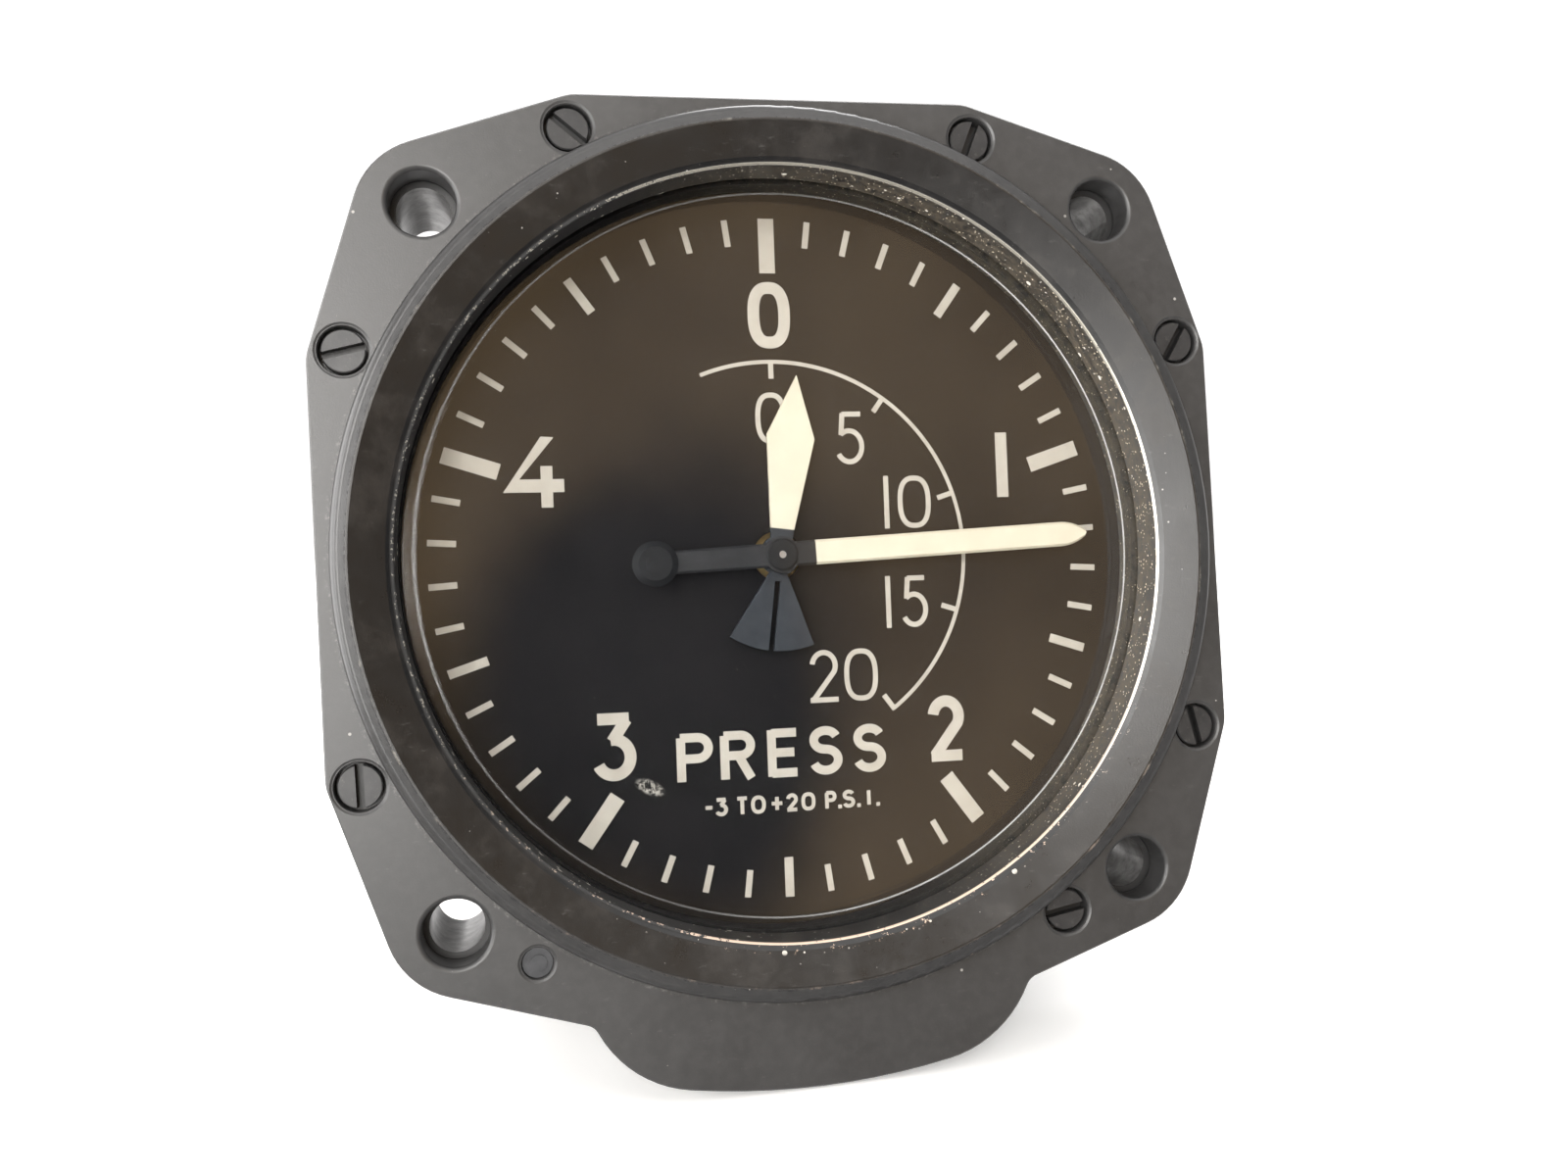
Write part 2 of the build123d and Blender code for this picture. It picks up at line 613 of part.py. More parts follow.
with BuildPart() as chassis_rear_plate:
    with BuildSketch(at(RP_Y1)):
        Circle(PLATE_R)
        with Locations(*PILLARS):
            Circle(1.7, mode=Mode.SUBTRACT)
        with Locations((ROCK_X, ROCK_Z)):
            Circle(BUSH_R, mode=Mode.SUBTRACT)
        with Locations((-6.0, -25.0), (6.0, -25.0)):
            Circle(1.05, mode=Mode.SUBTRACT)
        with Locations((0, -28.0)):
            Rectangle(6.4, 18.0, mode=Mode.SUBTRACT)
        with Locations((-10, 12)):
            Circle(7.0, mode=Mode.SUBTRACT)
    extrude(amount=RP_Y1 - RP_Y0)
chassis_rear_plate.part.label = "chassis_rear_plate"
export_step(chassis_rear_plate.part, "parts/chassis_rear_plate.step")

with BuildPart() as movement_pillars:
    with BuildSketch(at(BP_Y0)):
        with Locations(*PILLARS):
            Circle(PILLAR_R)
    extrude(amount=BP_Y0 - FP_Y1)
    with BuildSketch(at(BP_Y1 + 5)):
        with Locations(*PILLARS):
            Circle(1.2)
    extrude(amount=BP_Y1 + 5 - BP_Y0 + 0.2)
    with BuildSketch(at(24.5)):
        with Locations(*PILLARS):
            Circle(1.25)
    extrude(amount=8, mode=Mode.SUBTRACT)
movement_pillars.part.label = "movement_pillars"
export_step(movement_pillars.part, "parts/movement_pillars.step")

with BuildPart() as chassis_pillars:
    with BuildSketch(at(RP_Y0)):
        with Locations(*PILLARS):
            Circle(PILLAR_R)
    extrude(amount=RP_Y0 - BP_Y1)
    with BuildSketch(at(BP_Y1 + 6)):
        with Locations(*PILLARS):
            Circle(1.25)
    extrude(amount=7, mode=Mode.SUBTRACT)
    with BuildSketch(at(RP_Y0 + 1)):
        with Locations(*PILLARS):
            Circle(1.55)
    extrude(amount=9.0, mode=Mode.SUBTRACT)
chassis_pillars.part.label = "chassis_pillars"
export_step(chassis_pillars.part, "parts/chassis_pillars.step")

with BuildPart() as pillar_screws:
    with BuildSketch(at(FP_Y0)):
        with Locations(*PILLARS):
            Circle(2.2)
    extrude(amount=1.2)
    with BuildSketch(at(23.5)):
        with Locations(*PILLARS):
            Circle(1.2)
    extrude(amount=23.5 - FP_Y0 + 0.2)
    with BuildSketch(at(FP_Y0 - 0.6)):
        with Locations(*PILLARS):
            Rectangle(5.0, 0.6, rotation=20)
    extrude(amount=1.0, mode=Mode.SUBTRACT)
pillar_screws.part.label = "pillar_screws"
export_step(pillar_screws.part, "parts/pillar_screws.step")

with BuildPart() as pivot_bushes:
    for y1, t, spots in ((FP_Y1, 2.0, (((0, 0), PIVOT_C), ((SEC_X, SEC_Z), PIVOT_S), ((ROCK_X, ROCK_Z), PIVOT_R))),
                         (BP_Y1, 2.0, (((0, 0), PIVOT_S), ((SEC_X, SEC_Z), PIVOT_S))),
                         (RP_Y1, 3.0, (((ROCK_X, ROCK_Z), PIVOT_R),))):
        with BuildSketch(at(y1)):
            for spot, pr in spots:
                with Locations(spot):
                    Circle(BUSH_R - 0.01)
            for spot, pr in spots:
                with Locations(spot):
                    Circle(pr + 0.03, mode=Mode.SUBTRACT)
        extrude(amount=t)
pivot_bushes.part.label = "pivot_bushes"
export_step(pivot_bushes.part, "parts/pivot_bushes.step")

# ===========================================================================
# Long pointer group: pointer, hub, counterweight, arbor, reduction pinion
# ===========================================================================
LP_Y0, LP_Y1 = 7.0, 7.5
LP_W = 2.42
lp_dir = 90.0 - REST_DEG - DIAL_ROLL                  # math angle of the pointer
lp_plane_angle = math.radians(lp_dir)


def along(r, w):
    """Point r along the pointer, w to its left."""
    return (r * math.cos(lp_plane_angle) - w * math.sin(lp_plane_angle),
            r * math.sin(lp_plane_angle) + w * math.cos(lp_plane_angle))


h = LP_W / 2
ogive = [(28.6, 1.0), (29.1, 0.955), (29.6, 0.86), (30.1, 0.71), (30.6, 0.50), (31.0, 0.28)]
blade_pts = [(-10.6, h - 0.12), (0.0, h - 0.05), (3.0, h - 0.02), (27.9, h)]
blade_pts += [(r, h * k) for r, k in ogive]
blade_outline = blade_pts + [(31.18, 0.0)] + [(r, -w) for r, w in reversed(blade_pts)]

inset_pts = [(r, max(w - 0.22, 0.06)) for r, w in blade_pts]
inset_outline = inset_pts + [(31.02, 0.0)] + [(r, -w) for r, w in reversed(inset_pts)]

with BuildPart() as long_pointer:
    with BuildSketch(at(LP_Y1)):
        with BuildLine():
            Polyline(*[along(r, w) for r, w in blade_outline], close=True)
        make_face()
        with Locations(along(-12.15, 0)):
            Circle(1.7)
    extrude(amount=0.25)
    with BuildSketch(at(LP_Y1 - 0.25)):
        with BuildLine():
            Polyline(*[along(r, w) for r, w in blade_outline], close=True)
        make_face()
    with BuildSketch(at(LP_Y0)):
        with BuildLine():
            Polyline(*[along(r, w) for r, w in inset_outline], close=True)
        make_face()
    loft(ruled=True)
    with BuildSketch(at(LP_Y1)):
        Circle(1.75)
        with Locations(along(-12.15, 0)):
            Circle(1.7)
    extrude(amount=LP_Y1 - LP_Y0)
    with BuildSketch(at(LP_Y1 + 0.1)):
        Circle(1.17)
        with Locations(along(-12.15, 0)):
            Circle(0.82)
    extrude(amount=1.0, mode=Mode.SUBTRACT)
long_pointer.part.label = "long_pointer"
export_step(long_pointer.part, "parts/long_pointer.step")

with BuildPart() as pointer_hub:
    with BuildSketch(Plane.XY):
        with BuildLine():
            Polyline((0.36, 6.70), (1.35, 6.70), (1.55, 6.82), (1.55, 7.0), (1.15, 7.0), (1.15, 7.5), (1.45, 7.5), (1.45, 7.85),
                     (0.76, 7.85), (0.76, 7.0), (0.36, 7.0), close=True)
        make_face()
    revolve(axis=Axis.Y)
pointer_hub.part.label = "pointer_hub"
export_step(pointer_hub.part, "parts/pointer_hub.step")

wx, wz = along(-12.15, 0)
with BuildPart() as pointer_counterweight:
    for y1, y0, r0 in ((7.0, 6.88, 2.15), (7.5, 7.0, 0.8), (7.8, 7.5, 1.35)):
        with BuildSketch(at(y1)):
            with Locations((wx, wz)):
                Circle(r0)
        extrude(amount=y1 - y0)
    with BuildSketch(at(6.88)):
        with Locations((wx, wz)):
            Circle(2.15)
    extrude(amount=0.30, taper=62)
    with BuildSketch(at(6.75)):
        with Locations((wx, wz)):
            Circle(0.92)
    extrude(amount=0.31)
pointer_counterweight.part.label = "pointer_counterweight"
export_step(pointer_counterweight.part, "parts/pointer_counterweight.step")

centre_tooth = DIR_CENTRE_SECOND          # a tooth of the centre pinion points at the second arbor
with BuildPart() as centre_arbor:
    for y1, y0, r0 in ((18.6, 7.02, 0.75), (19.5, 18.6, 1.0), (31.9, 22.2, 1.0), (33.9, 31.9, 0.5)):
        with BuildSketch(at(y1)):
            Circle(r0)
        extrude(amount=y1 - y0)
    with BuildSketch(at(22.2)):
        Polygon(*gear_points(N_CENTRE, centre_tooth), align=None)
    extrude(amount=2.7)
centre_arbor.part.label = "centre_arbor"
export_step(centre_arbor.part, "parts/centre_arbor.step")

with BuildPart() as reduction_pinion:
    with BuildSketch(at(15.8)):
        Polygon(*gear_points(N_CANNON, INTER_DIR), align=None)
        Circle(0.76, mode=Mode.SUBTRACT)
    extrude(amount=2.5)
reduction_pinion.part.label = "reduction_pinion"
export_step(reduction_pinion.part, "parts/reduction_pinion.step")

# ===========================================================================
# Short pointer group: pointer with fan tail, pipe, sleeve wheel
# ===========================================================================
SP_Y0, SP_Y1 = 8.15, 8.6
sp_angle = math.radians(90.0 - SHORT_DEG - DIAL_ROLL)


def sp(r, w):
    return (r * math.cos(sp_angle) - w * math.sin(sp_angle), r * math.sin(sp_angle) + w * math.cos(sp_angle))


FAN_R, FAN_HALF, FAN_SLOT = 9.2, 26.5, 0.55
fan_pts = [(0.0, 0.0)]
for i in range(13):
    a = math.radians(180.0 - FAN_HALF + 2 * FAN_HALF * i / 12)
    fan_pts.append((FAN_R * math.cos(a), FAN_R * math.sin(a)))

with BuildPart() as short_pointer:
    with BuildSketch(at(SP_Y1)):
        with BuildLine():
            Polyline(*[sp(r, w) for r, w in ((17.5, 0.0), (11.5, 2.35), (2.2, 1.1), (0.0, 1.0), (0.0, -1.0), (2.2, -1.1), (11.5, -2.35))], close=True)
        make_face()
        Circle(1.95)
        with BuildLine():
            Polyline(*[sp(r, w) for r, w in fan_pts], close=True)
        make_face()
        with BuildLine():
            Polyline(*[sp(r, w) for r, w in ((-2.5, FAN_SLOT / 2), (-10.0, FAN_SLOT / 2), (-10.0, -FAN_SLOT / 2), (-2.5, -FAN_SLOT / 2))], close=True)
        make_face(mode=Mode.SUBTRACT)
        Circle(1.41, mode=Mode.SUBTRACT)
    extrude(amount=SP_Y1 - SP_Y0)
short_pointer.part.label = "short_pointer"
export_step(short_pointer.part, "parts/short_pointer.step")

with BuildPart() as short_pointer_pipe:
    with BuildSketch(Plane.XY):
        with BuildLine():
            Polyline((0.80, 8.08), (1.40, 8.08), (1.40, 8.6), (1.75, 8.6), (1.75, 8.9), (1.40, 8.9), (1.40, 12.6),
                     (2.1, 12.6), (2.1, 12.9), (0.80, 12.9), close=True)
        make_face()
    revolve(axis=Axis.Y)
short_pointer_pipe.part.label = "short_pointer_pipe"
export_step(short_pointer_pipe.part, "parts/short_pointer_pipe.step")

sleeve_gap = INTER_DIR                     # a gap of the sleeve wheel faces the intermediate pinion
with BuildPart() as sleeve_wheel:
    with BuildSketch(at(12.6)):
        Polygon(*gear_points(N_SLEEVE, sleeve_gap + 180.0 / N_SLEEVE), align=None)
        Circle(1.41, mode=Mode.SUBTRACT)
        with PolarLocations(3.4, 5, start_angle=10):
            Circle(1.15, mode=Mode.SUBTRACT)
    extrude(amount=0.9)
sleeve_wheel.part.label = "sleeve_wheel"
export_step(sleeve_wheel.part, "parts/sleeve_wheel.step")

# ===========================================================================
# Intermediate wheel and pinion on a fixed stud
# ===========================================================================
with BuildPart() as intermediate_wheel:
    with BuildSketch(at(14.5)):
        with Locations((INTER_X, INTER_Z)):
            Polygon(*gear_points(N_INTER, INTER_DIR + 180.0 + 180.0 / N_INTER), align=None)
            Circle(1.41, mode=Mode.SUBTRACT)
        for i in range(5):
            with Locations(polar(3.6, 25 + 72 * i, INTER_X, INTER_Z)):
                Circle(1.2, mode=Mode.SUBTRACT)
    extrude(amount=0.9)
intermediate_wheel.part.label = "intermediate_wheel"
export_step(intermediate_wheel.part, "parts/intermediate_wheel.step")

with BuildPart() as intermediate_pinion:
    with BuildSketch(at(13.5)):
        with Locations((INTER_X, INTER_Z)):
            Polygon(*gear_points(N_IPIN, INTER_DIR + 180.0), align=None)
    extrude(amount=2.1)
    with BuildSketch(at(14.6)):
        with Locations((INTER_X, INTER_Z)):
            Circle(1.40)
    extrude(amount=1.2)
    with BuildSketch(at(15.0)):
        with Locations((INTER_X, INTER_Z)):
            Circle(0.84)
    extrude(amount=5, mode=Mode.SUBTRACT)
intermediate_pinion.part.label = "intermediate_pinion"
export_step(intermediate_pinion.part, "parts/intermediate_pinion.step")

with BuildPart() as intermediate_stud:
    for y1, y0, r0 in ((18.5, 16.5, 1.19), (16.5, 14.75, 1.6), (14.75, 10.6, 0.8)):
        with BuildSketch(at(y1)):
            with Locations((INTER_X, INTER_Z)):
                Circle(r0)
        extrude(amount=y1 - y0)
    with BuildSketch(at(11.2)):
        with Locations((INTER_X, INTER_Z)):
            Circle(0.9)
            Circle(0.6, mode=Mode.SUBTRACT)
    extrude(amount=0.2, mode=Mode.SUBTRACT)
intermediate_stud.part.label = "intermediate_stud"
export_step(intermediate_stud.part, "parts/intermediate_stud.step")

with BuildPart() as stud_clip:
    with BuildSketch(at(11.19)):
        with Locations((INTER_X, INTER_Z)):
            Circle(1.35)
            Circle(0.62, mode=Mode.SUBTRACT)
        with Locations((INTER_X - 1.2, INTER_Z)):
            Rectangle(1.4, 0.7, mode=Mode.SUBTRACT)
    extrude(amount=0.18)
stud_clip.part.label = "stud_clip"
export_step(stud_clip.part, "parts/stud_clip.step")

# ===========================================================================
# Second arbor with its pinion, second wheel and hairspring collet
# ===========================================================================
with BuildPart() as second_arbor:
    for y1, y0, r0 in ((18.6, 16.6, 0.5), (24.3, 18.6, 1.0), (31.9, 27.0, 1.0), (33.9, 31.9, 0.5)):
        with BuildSketch(at(y1)):
            with Locations((SEC_X, SEC_Z)):
                Circle(r0)
        extrude(amount=y1 - y0)
    with BuildSketch(at(27.0)):
        with Locations((SEC_X, SEC_Z)):
            Polygon(*gear_points(N_SPIN, DIR_ROCK_SECOND + 180.0 + 180.0 / N_SPIN), align=None)
    extrude(amount=2.7)
second_arbor.part.label = "second_arbor"
export_step(second_arbor.part, "parts/second_arbor.step")

with BuildPart() as second_wheel:
    with BuildSketch(at(21.0)):
        with Locations((SEC_X, SEC_Z)):
            Polygon(*gear_points(N_SECOND, DIR_CENTRE_SECOND + 180.0 + 180.0 / N_SECOND), align=None)
        for i in range(5):
            with Locations(polar(7.2, 20 + 72 * i, SEC_X, SEC_Z)):
                Circle(3.0, mode=Mode.SUBTRACT)
    extrude(amount=0.8)
    with BuildSketch(at(22.4)):
        with Locations((SEC_X, SEC_Z)):
            Circle(2.5)
    extrude(amount=1.5)
    with BuildSketch(at(23.0)):
        with Locations((SEC_X, SEC_Z)):
            Circle(1.01)
    extrude(amount=4, mode=Mode.SUBTRACT)
second_wheel.part.label = "second_wheel"
export_step(second_wheel.part, "parts/second_wheel.step")

with BuildPart() as hairspring_collet:
    with BuildSketch(at(30.6)):
        with Locations((SEC_X, SEC_Z)):
            Circle(1.6)
            Circle(1.01, mode=Mode.SUBTRACT)
    extrude(amount=1.2)
hairspring_collet.part.label = "hairspring_collet"
export_step(hairspring_collet.part, "parts/hairspring_collet.step")

# flat spiral, six turns, outer end at a stud in the back plate
SPR_R0, SPR_R1, SPR_TURNS, SPR_W = 1.85, 6.4, 6.0, 0.16
spiral_in, spiral_out = [], []
for i in range(int(SPR_TURNS * 24) + 1):
    t = i / (SPR_TURNS * 24)
    rr = SPR_R0 + (SPR_R1 - SPR_R0) * t
    a = 2 * math.pi * SPR_TURNS * t
    spiral_in.append((SEC_X + (rr - SPR_W / 2) * math.cos(a), SEC_Z + (rr - SPR_W / 2) * math.sin(a)))
    spiral_out.append((SEC_X + (rr + SPR_W / 2) * math.cos(a), SEC_Z + (rr + SPR_W / 2) * math.sin(a)))
with BuildPart() as hairspring:
    with BuildSketch(at(30.3)):
        with BuildLine():
            Polyline(*(spiral_in + spiral_out[::-1]), close=True)
        make_face()
    extrude(amount=0.6)
hairspring.part.label = "hairspring"
export_step(hairspring.part, "parts/hairspring.step")

with BuildPart() as hairspring_stud:
    with BuildSketch(at(BP_Y0)):
        with Locations((SEC_X + SPR_R1 + 0.95, SEC_Z)):
            Circle(0.85)
    extrude(amount=2.6)
hairspring_stud.part.label = "hairspring_stud"
export_step(hairspring_stud.part, "parts/hairspring_stud.step")

# ===========================================================================
# Rocking shaft, toothed sector, arm, arm pin
# ===========================================================================
with BuildPart() as rocking_shaft:
    for y1, y0, r0 in ((18.6, 16.6, PIVOT_R), (74.9, 18.6, 1.1), (77.9, 74.9, PIVOT_R)):
        with BuildSketch(at(y1)):
            with Locations((ROCK_X, ROCK_Z)):
                Circle(r0)
        extrude(amount=y1 - y0)
rocking_shaft.part.label = "rocking_shaft"
export_step(rocking_shaft.part, "parts/rocking_shaft.step")

pitch = 360.0 / N_SECTOR
k_lo = math.ceil((SECTOR_DIR - SECTOR_HALF - DIR_ROCK_SECOND) / pitch)
k_hi = math.floor((SECTOR_DIR + SECTOR_HALF - DIR_ROCK_SECOND) / pitch)
sector_teeth = gear_points(N_SECTOR, DIR_ROCK_SECOND, first=k_lo, last=k_hi)
a_hi = math.radians(DIR_ROCK_SECOND + pitch * k_hi)
a_lo = math.radians(DIR_ROCK_SECOND + pitch * k_lo)
r_root = MOD * N_SECTOR / 2 - 1.2 * MOD
with BuildPart() as toothed_sector:
    with BuildSketch(at(26.2)):
        with Locations((ROCK_X, ROCK_Z)):
            Polygon(*(sector_teeth + [(2.6 * math.cos(a_hi + 0.9), 2.6 * math.sin(a_hi + 0.9)),
                                      (2.6 * math.cos(a_lo - 0.9), 2.6 * math.sin(a_lo - 0.9))]), align=None)
            Circle(3.0)
            Circle(1.11, mode=Mode.SUBTRACT)
            window = []
            for i in range(9):
                a = math.radians(SECTOR_DIR - 19 + 38 * i / 8)
                window.append((10.3 * math.cos(a), 10.3 * math.sin(a)))
            for i in range(5):
                a = math.radians(SECTOR_DIR + 12 - 24 * i / 4)
                window.append((5.0 * math.cos(a), 5.0 * math.sin(a)))
            Polygon(*window, align=None, mode=Mode.SUBTRACT)
    extrude(amount=1.2)
    with BuildSketch(at(28.2)):
        with Locations((ROCK_X, ROCK_Z)):
            Circle(2.4)
            Circle(1.11, mode=Mode.SUBTRACT)
    extrude(amount=2.1)
toothed_sector.part.label = "toothed_sector"
export_step(toothed_sector.part, "parts/toothed_sector.step")

with BuildPart() as rocking_arm:
    with BuildSketch(at(CAP_Y + 2.1)):
        with Locations((ROCK_X, ROCK_Z)):
            Circle(2.5)
        with Locations((PIN_X, PIN_Z)):
            Circle(1.5)
        with BuildLine():
            c, s = math.cos(math.radians(ARM_DIR)), math.sin(math.radians(ARM_DIR))
            Polyline((ROCK_X - 1.8 * s, ROCK_Z + 1.8 * c), (PIN_X - 1.3 * s, PIN_Z + 1.3 * c),
                     (PIN_X + 1.3 * s, PIN_Z - 1.3 * c), (ROCK_X + 1.8 * s, ROCK_Z - 1.8 * c), close=True)
        make_face()
        with Locations((ROCK_X, ROCK_Z)):
            Circle(1.11, mode=Mode.SUBTRACT)
        with Locations((PIN_X, PIN_Z)):
            Circle(0.61, mode=Mode.SUBTRACT)
    extrude(amount=1.2)
    with BuildSketch(at(CAP_Y + 4.0)):
        with Locations((ROCK_X, ROCK_Z)):
            Circle(2.5)
            Circle(1.11, mode=Mode.SUBTRACT)
    extrude(amount=2.0)
rocking_arm.part.label = "rocking_arm"
export_step(rocking_arm.part, "parts/rocking_arm.step")

with BuildPart() as arm_pin:
    for y1, y0, r0 in ((CAP_Y + 2.1, CAP_Y - 0.6, 0.6), (CAP_Y - 0.6, CAP_Y - 1.0, 1.0)):
        with BuildSketch(at(y1)):
            with Locations((PIN_X, PIN_Z)):
                Circle(r0)
        extrude(amount=y1 - y0)
arm_pin.part.label = "arm_pin"
export_step(arm_pin.part, "parts/arm_pin.step")

# ===========================================================================
# Connecting link: snug on the arm pin, with an open lower eye
# ===========================================================================
with BuildPart() as connecting_link:
    with BuildSketch(at(CAP_Y + 0.4)):
        with Locations((PIN_X, PIN_Z)):
            Circle(1.4)
        with Locations((PIN_X, PIN_Z - LINK_L)):
            Circle(1.6)
        with Locations((PIN_X, PIN_Z - LINK_L / 2)):
            Rectangle(1.3, LINK_L)
        with Locations((PIN_X, PIN_Z)):
            Circle(0.64, mode=Mode.SUBTRACT)
        with Locations((PIN_X, PIN_Z - LINK_L)):
            Circle(0.9, mode=Mode.SUBTRACT)
    extrude(amount=0.8)
connecting_link.part.label = "connecting_link"
export_step(connecting_link.part, "parts/connecting_link.step")

# ===========================================================================
# Capsule stack with fork, base fitting, nut, bracket and feed pipe
# ===========================================================================
with BuildPart() as capsule_fork:
    with BuildSketch(Plane.XY.offset(CAP_Z1)):
        with Locations((0, CAP_Y)):
            Circle(2.9)
    extrude(amount=1.2)
    with BuildSketch(Plane.XY.offset(CAP_Z1 + 1.1)):
        with Locations((0, CAP_Y - 1.35), (0, CAP_Y + 1.35)):
            Rectangle(4.0, 1.1)
    extrude(amount=FORK_PIN_Z + 1.5 - CAP_Z1 - 1.1)
    with BuildSketch(at(CAP_Y + 3)):
        with Locations((FORK_PIN_X, FORK_PIN_Z)):
            Circle(0.61)
    extrude(amount=6, mode=Mode.SUBTRACT)
capsule_fork.part.label = "capsule_fork"
export_step(capsule_fork.part, "parts/capsule_fork.step")

with BuildPart() as fork_pin:
    with BuildSketch(at(CAP_Y + 2.1)):
        with Locations((FORK_PIN_X, FORK_PIN_Z)):
            Circle(0.6)
    extrude(amount=4.2)
fork_pin.part.label = "fork_pin"
export_step(fork_pin.part, "parts/fork_pin.step")

# capsule profile: three capsules, corrugated thin discs, one welded piece
n_caps = 3
hub_r = 2.6
cap_pitch = (CAP_Z1 - CAP_Z0) / n_caps
radii_c = [hub_r, 4.2, 5.8, 7.4, 9.0, 10.6, 12.2, 13.8, 15.2]
outer_pts = []
for kcap in range(n_caps):
    zc = CAP_Z0 + cap_pitch * (kcap + 0.5)
    low = [(r, zc - 1.75 + (0.35 if i % 2 else 0.0)) for i, r in enumerate(radii_c)]
    high = [(r, zc + 1.75 - (0.35 if i % 2 else 0.0)) for i, r in enumerate(radii_c)]
    outer_pts += low + [(CAP_R, zc - 0.3), (CAP_R, zc + 0.3)] + high[::-1]
outer_pts = [(hub_r, CAP_Z0)] + outer_pts + [(hub_r, CAP_Z1)]
inner_pts = []
for kcap in range(n_caps):
    zc = CAP_Z0 + cap_pitch * (kcap + 0.5)
    low = [(r, zc - 1.75 + CAP_WALL + (0.35 if i % 2 else 0.0)) for i, r in enumerate(radii_c)]
    high = [(r, zc + 1.75 - CAP_WALL - (0.35 if i % 2 else 0.0)) for i, r in enumerate(radii_c)]
    low[0] = (1.2, low[0][1])
    high[0] = (1.2, high[0][1])
    inner_pts += low + [(CAP_R - 1.0, zc)] + high[::-1]
inner_pts = [(0, CAP_Z0 - 0.1), (1.2, CAP_Z0 - 0.1)] + inner_pts + [(1.2, CAP_Z1 - 0.6), (0, CAP_Z1 - 0.6)]
with BuildPart() as capsule_stack:
    with BuildSketch(Plane.XZ.offset(-CAP_Y)):
        with BuildLine():
            Polyline(*([(0, CAP_Z0)] + outer_pts + [(0, CAP_Z1)]), close=True)
        make_face()
        with BuildLine():
            Polyline(*inner_pts, close=True)
        make_face(mode=Mode.SUBTRACT)
    revolve(axis=Axis((0, CAP_Y, 0), (0, 0, 1)))
capsule_stack.part.label = "capsule_stack"
export_step(capsule_stack.part, "parts/capsule_stack.step")

SHELF_Z0, SHELF_Z1 = -31.0, -28.5
with BuildPart() as capsule_base:
    for z0, z1, r0 in ((SHELF_Z1, CAP_Z0, 5.0), (-36.8, SHELF_Z1, 2.5)):
        with BuildSketch(Plane.XY.offset(z0)):
            with Locations((0, CAP_Y)):
                Circle(r0)
        extrude(amount=z1 - z0)
    with BuildSketch(Plane.XY.offset(-34.9)):
        with Locations((0, CAP_Y)):
            Circle(1.0)
    extrude(amount=10, mode=Mode.SUBTRACT)
    with BuildSketch(at(CAP_Y + 5)):
        with Locations((0, -34.9)):
            Circle(1.55)
    extrude(amount=4.6, mode=Mode.SUBTRACT)
capsule_base.part.label = "capsule_base"
export_step(capsule_base.part, "parts/capsule_base.step")

with BuildPart() as capsule_base_nut:
    with BuildSketch(Plane.XY.offset(SHELF_Z0 - 2.0)):
        with Locations((0, CAP_Y)):
            RegularPolygon(4.5, 6, major_radius=False)
            Circle(2.55, mode=Mode.SUBTRACT)
    extrude(amount=2.0)
capsule_base_nut.part.label = "capsule_base_nut"
export_step(capsule_base_nut.part, "parts/capsule_base_nut.step")

with BuildPart() as capsule_bracket:
    with BuildSketch(Plane.XY.offset(SHELF_Z0)):
        with Locations((0, (BP_Y1 + RP_Y0) / 2)):
            Rectangle(18.0, RP_Y0 - BP_Y1)
        with Locations((0, CAP_Y)):
            Circle(2.6, mode=Mode.SUBTRACT)
        with Locations((0, RP_Y0)):
            Rectangle(6.4, 8.0, mode=Mode.SUBTRACT)
    extrude(amount=SHELF_Z1 - SHELF_Z0)
    for yb in (BP_Y1 + 1.8, RP_Y0):
        with BuildSketch(at(yb)):
            with Locations((0, -26.0)):
                Rectangle(18.0, 10.0)
            if yb == RP_Y0:
                with Locations((0, -26.0)):
                    Rectangle(6.4, 10.2, mode=Mode.SUBTRACT)
            with Locations((-6.0, -25.0), (6.0, -25.0)):
                Circle(1.15, mode=Mode.SUBTRACT)
        extrude(amount=1.8)
capsule_bracket.part.label = "capsule_bracket"
export_step(capsule_bracket.part, "parts/capsule_bracket.step")

with BuildPart() as bracket_screws:
    with BuildSketch(at(BP_Y1 + 3.0)):
        with Locations((-6.0, -25.0), (6.0, -25.0)):
            Circle(1.8)
    extrude(amount=1.2)
    with BuildSketch(at(BP_Y1 + 2.0)):
        with Locations((-6.0, -25.0), (6.0, -25.0)):
            Circle(1.0)
    extrude(amount=BP_Y1 + 2.0 - BP_Y0 - 0.2)
    with BuildSketch(at(RP_Y0 - 1.8)):
        with Locations((-6.0, -25.0), (6.0, -25.0)):
            Circle(1.8)
    extrude(amount=1.2)
    with BuildSketch(at(RP_Y1 - 0.2)):
        with Locations((-6.0, -25.0), (6.0, -25.0)):
            Circle(1.0)
    extrude(amount=RP_Y1 - 0.2 - RP_Y0 + 2.0)
bracket_screws.part.label = "bracket_screws"
export_step(bracket_screws.part, "parts/bracket_screws.step")

with BuildPart() as feed_pipe:
    with BuildLine() as route:
        FilletPolyline((0, CAP_Y + 1.2, -34.9), (0, 72.2, -34.9), (0, 77.0, UNION_Z), (0, 82.0, UNION_Z), radius=3.2)
    with BuildSketch(Plane(origin=(0, CAP_Y + 1.2, -34.9), x_dir=(1, 0, 0), z_dir=(0, 1, 0))):
        Circle(1.5)
        Circle(0.9, mode=Mode.SUBTRACT)
    sweep()
feed_pipe.part.label = "feed_pipe"
export_step(feed_pipe.part, "parts/feed_pipe.step")
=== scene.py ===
import math
import random

import bpy
from mathutils import Matrix, Vector


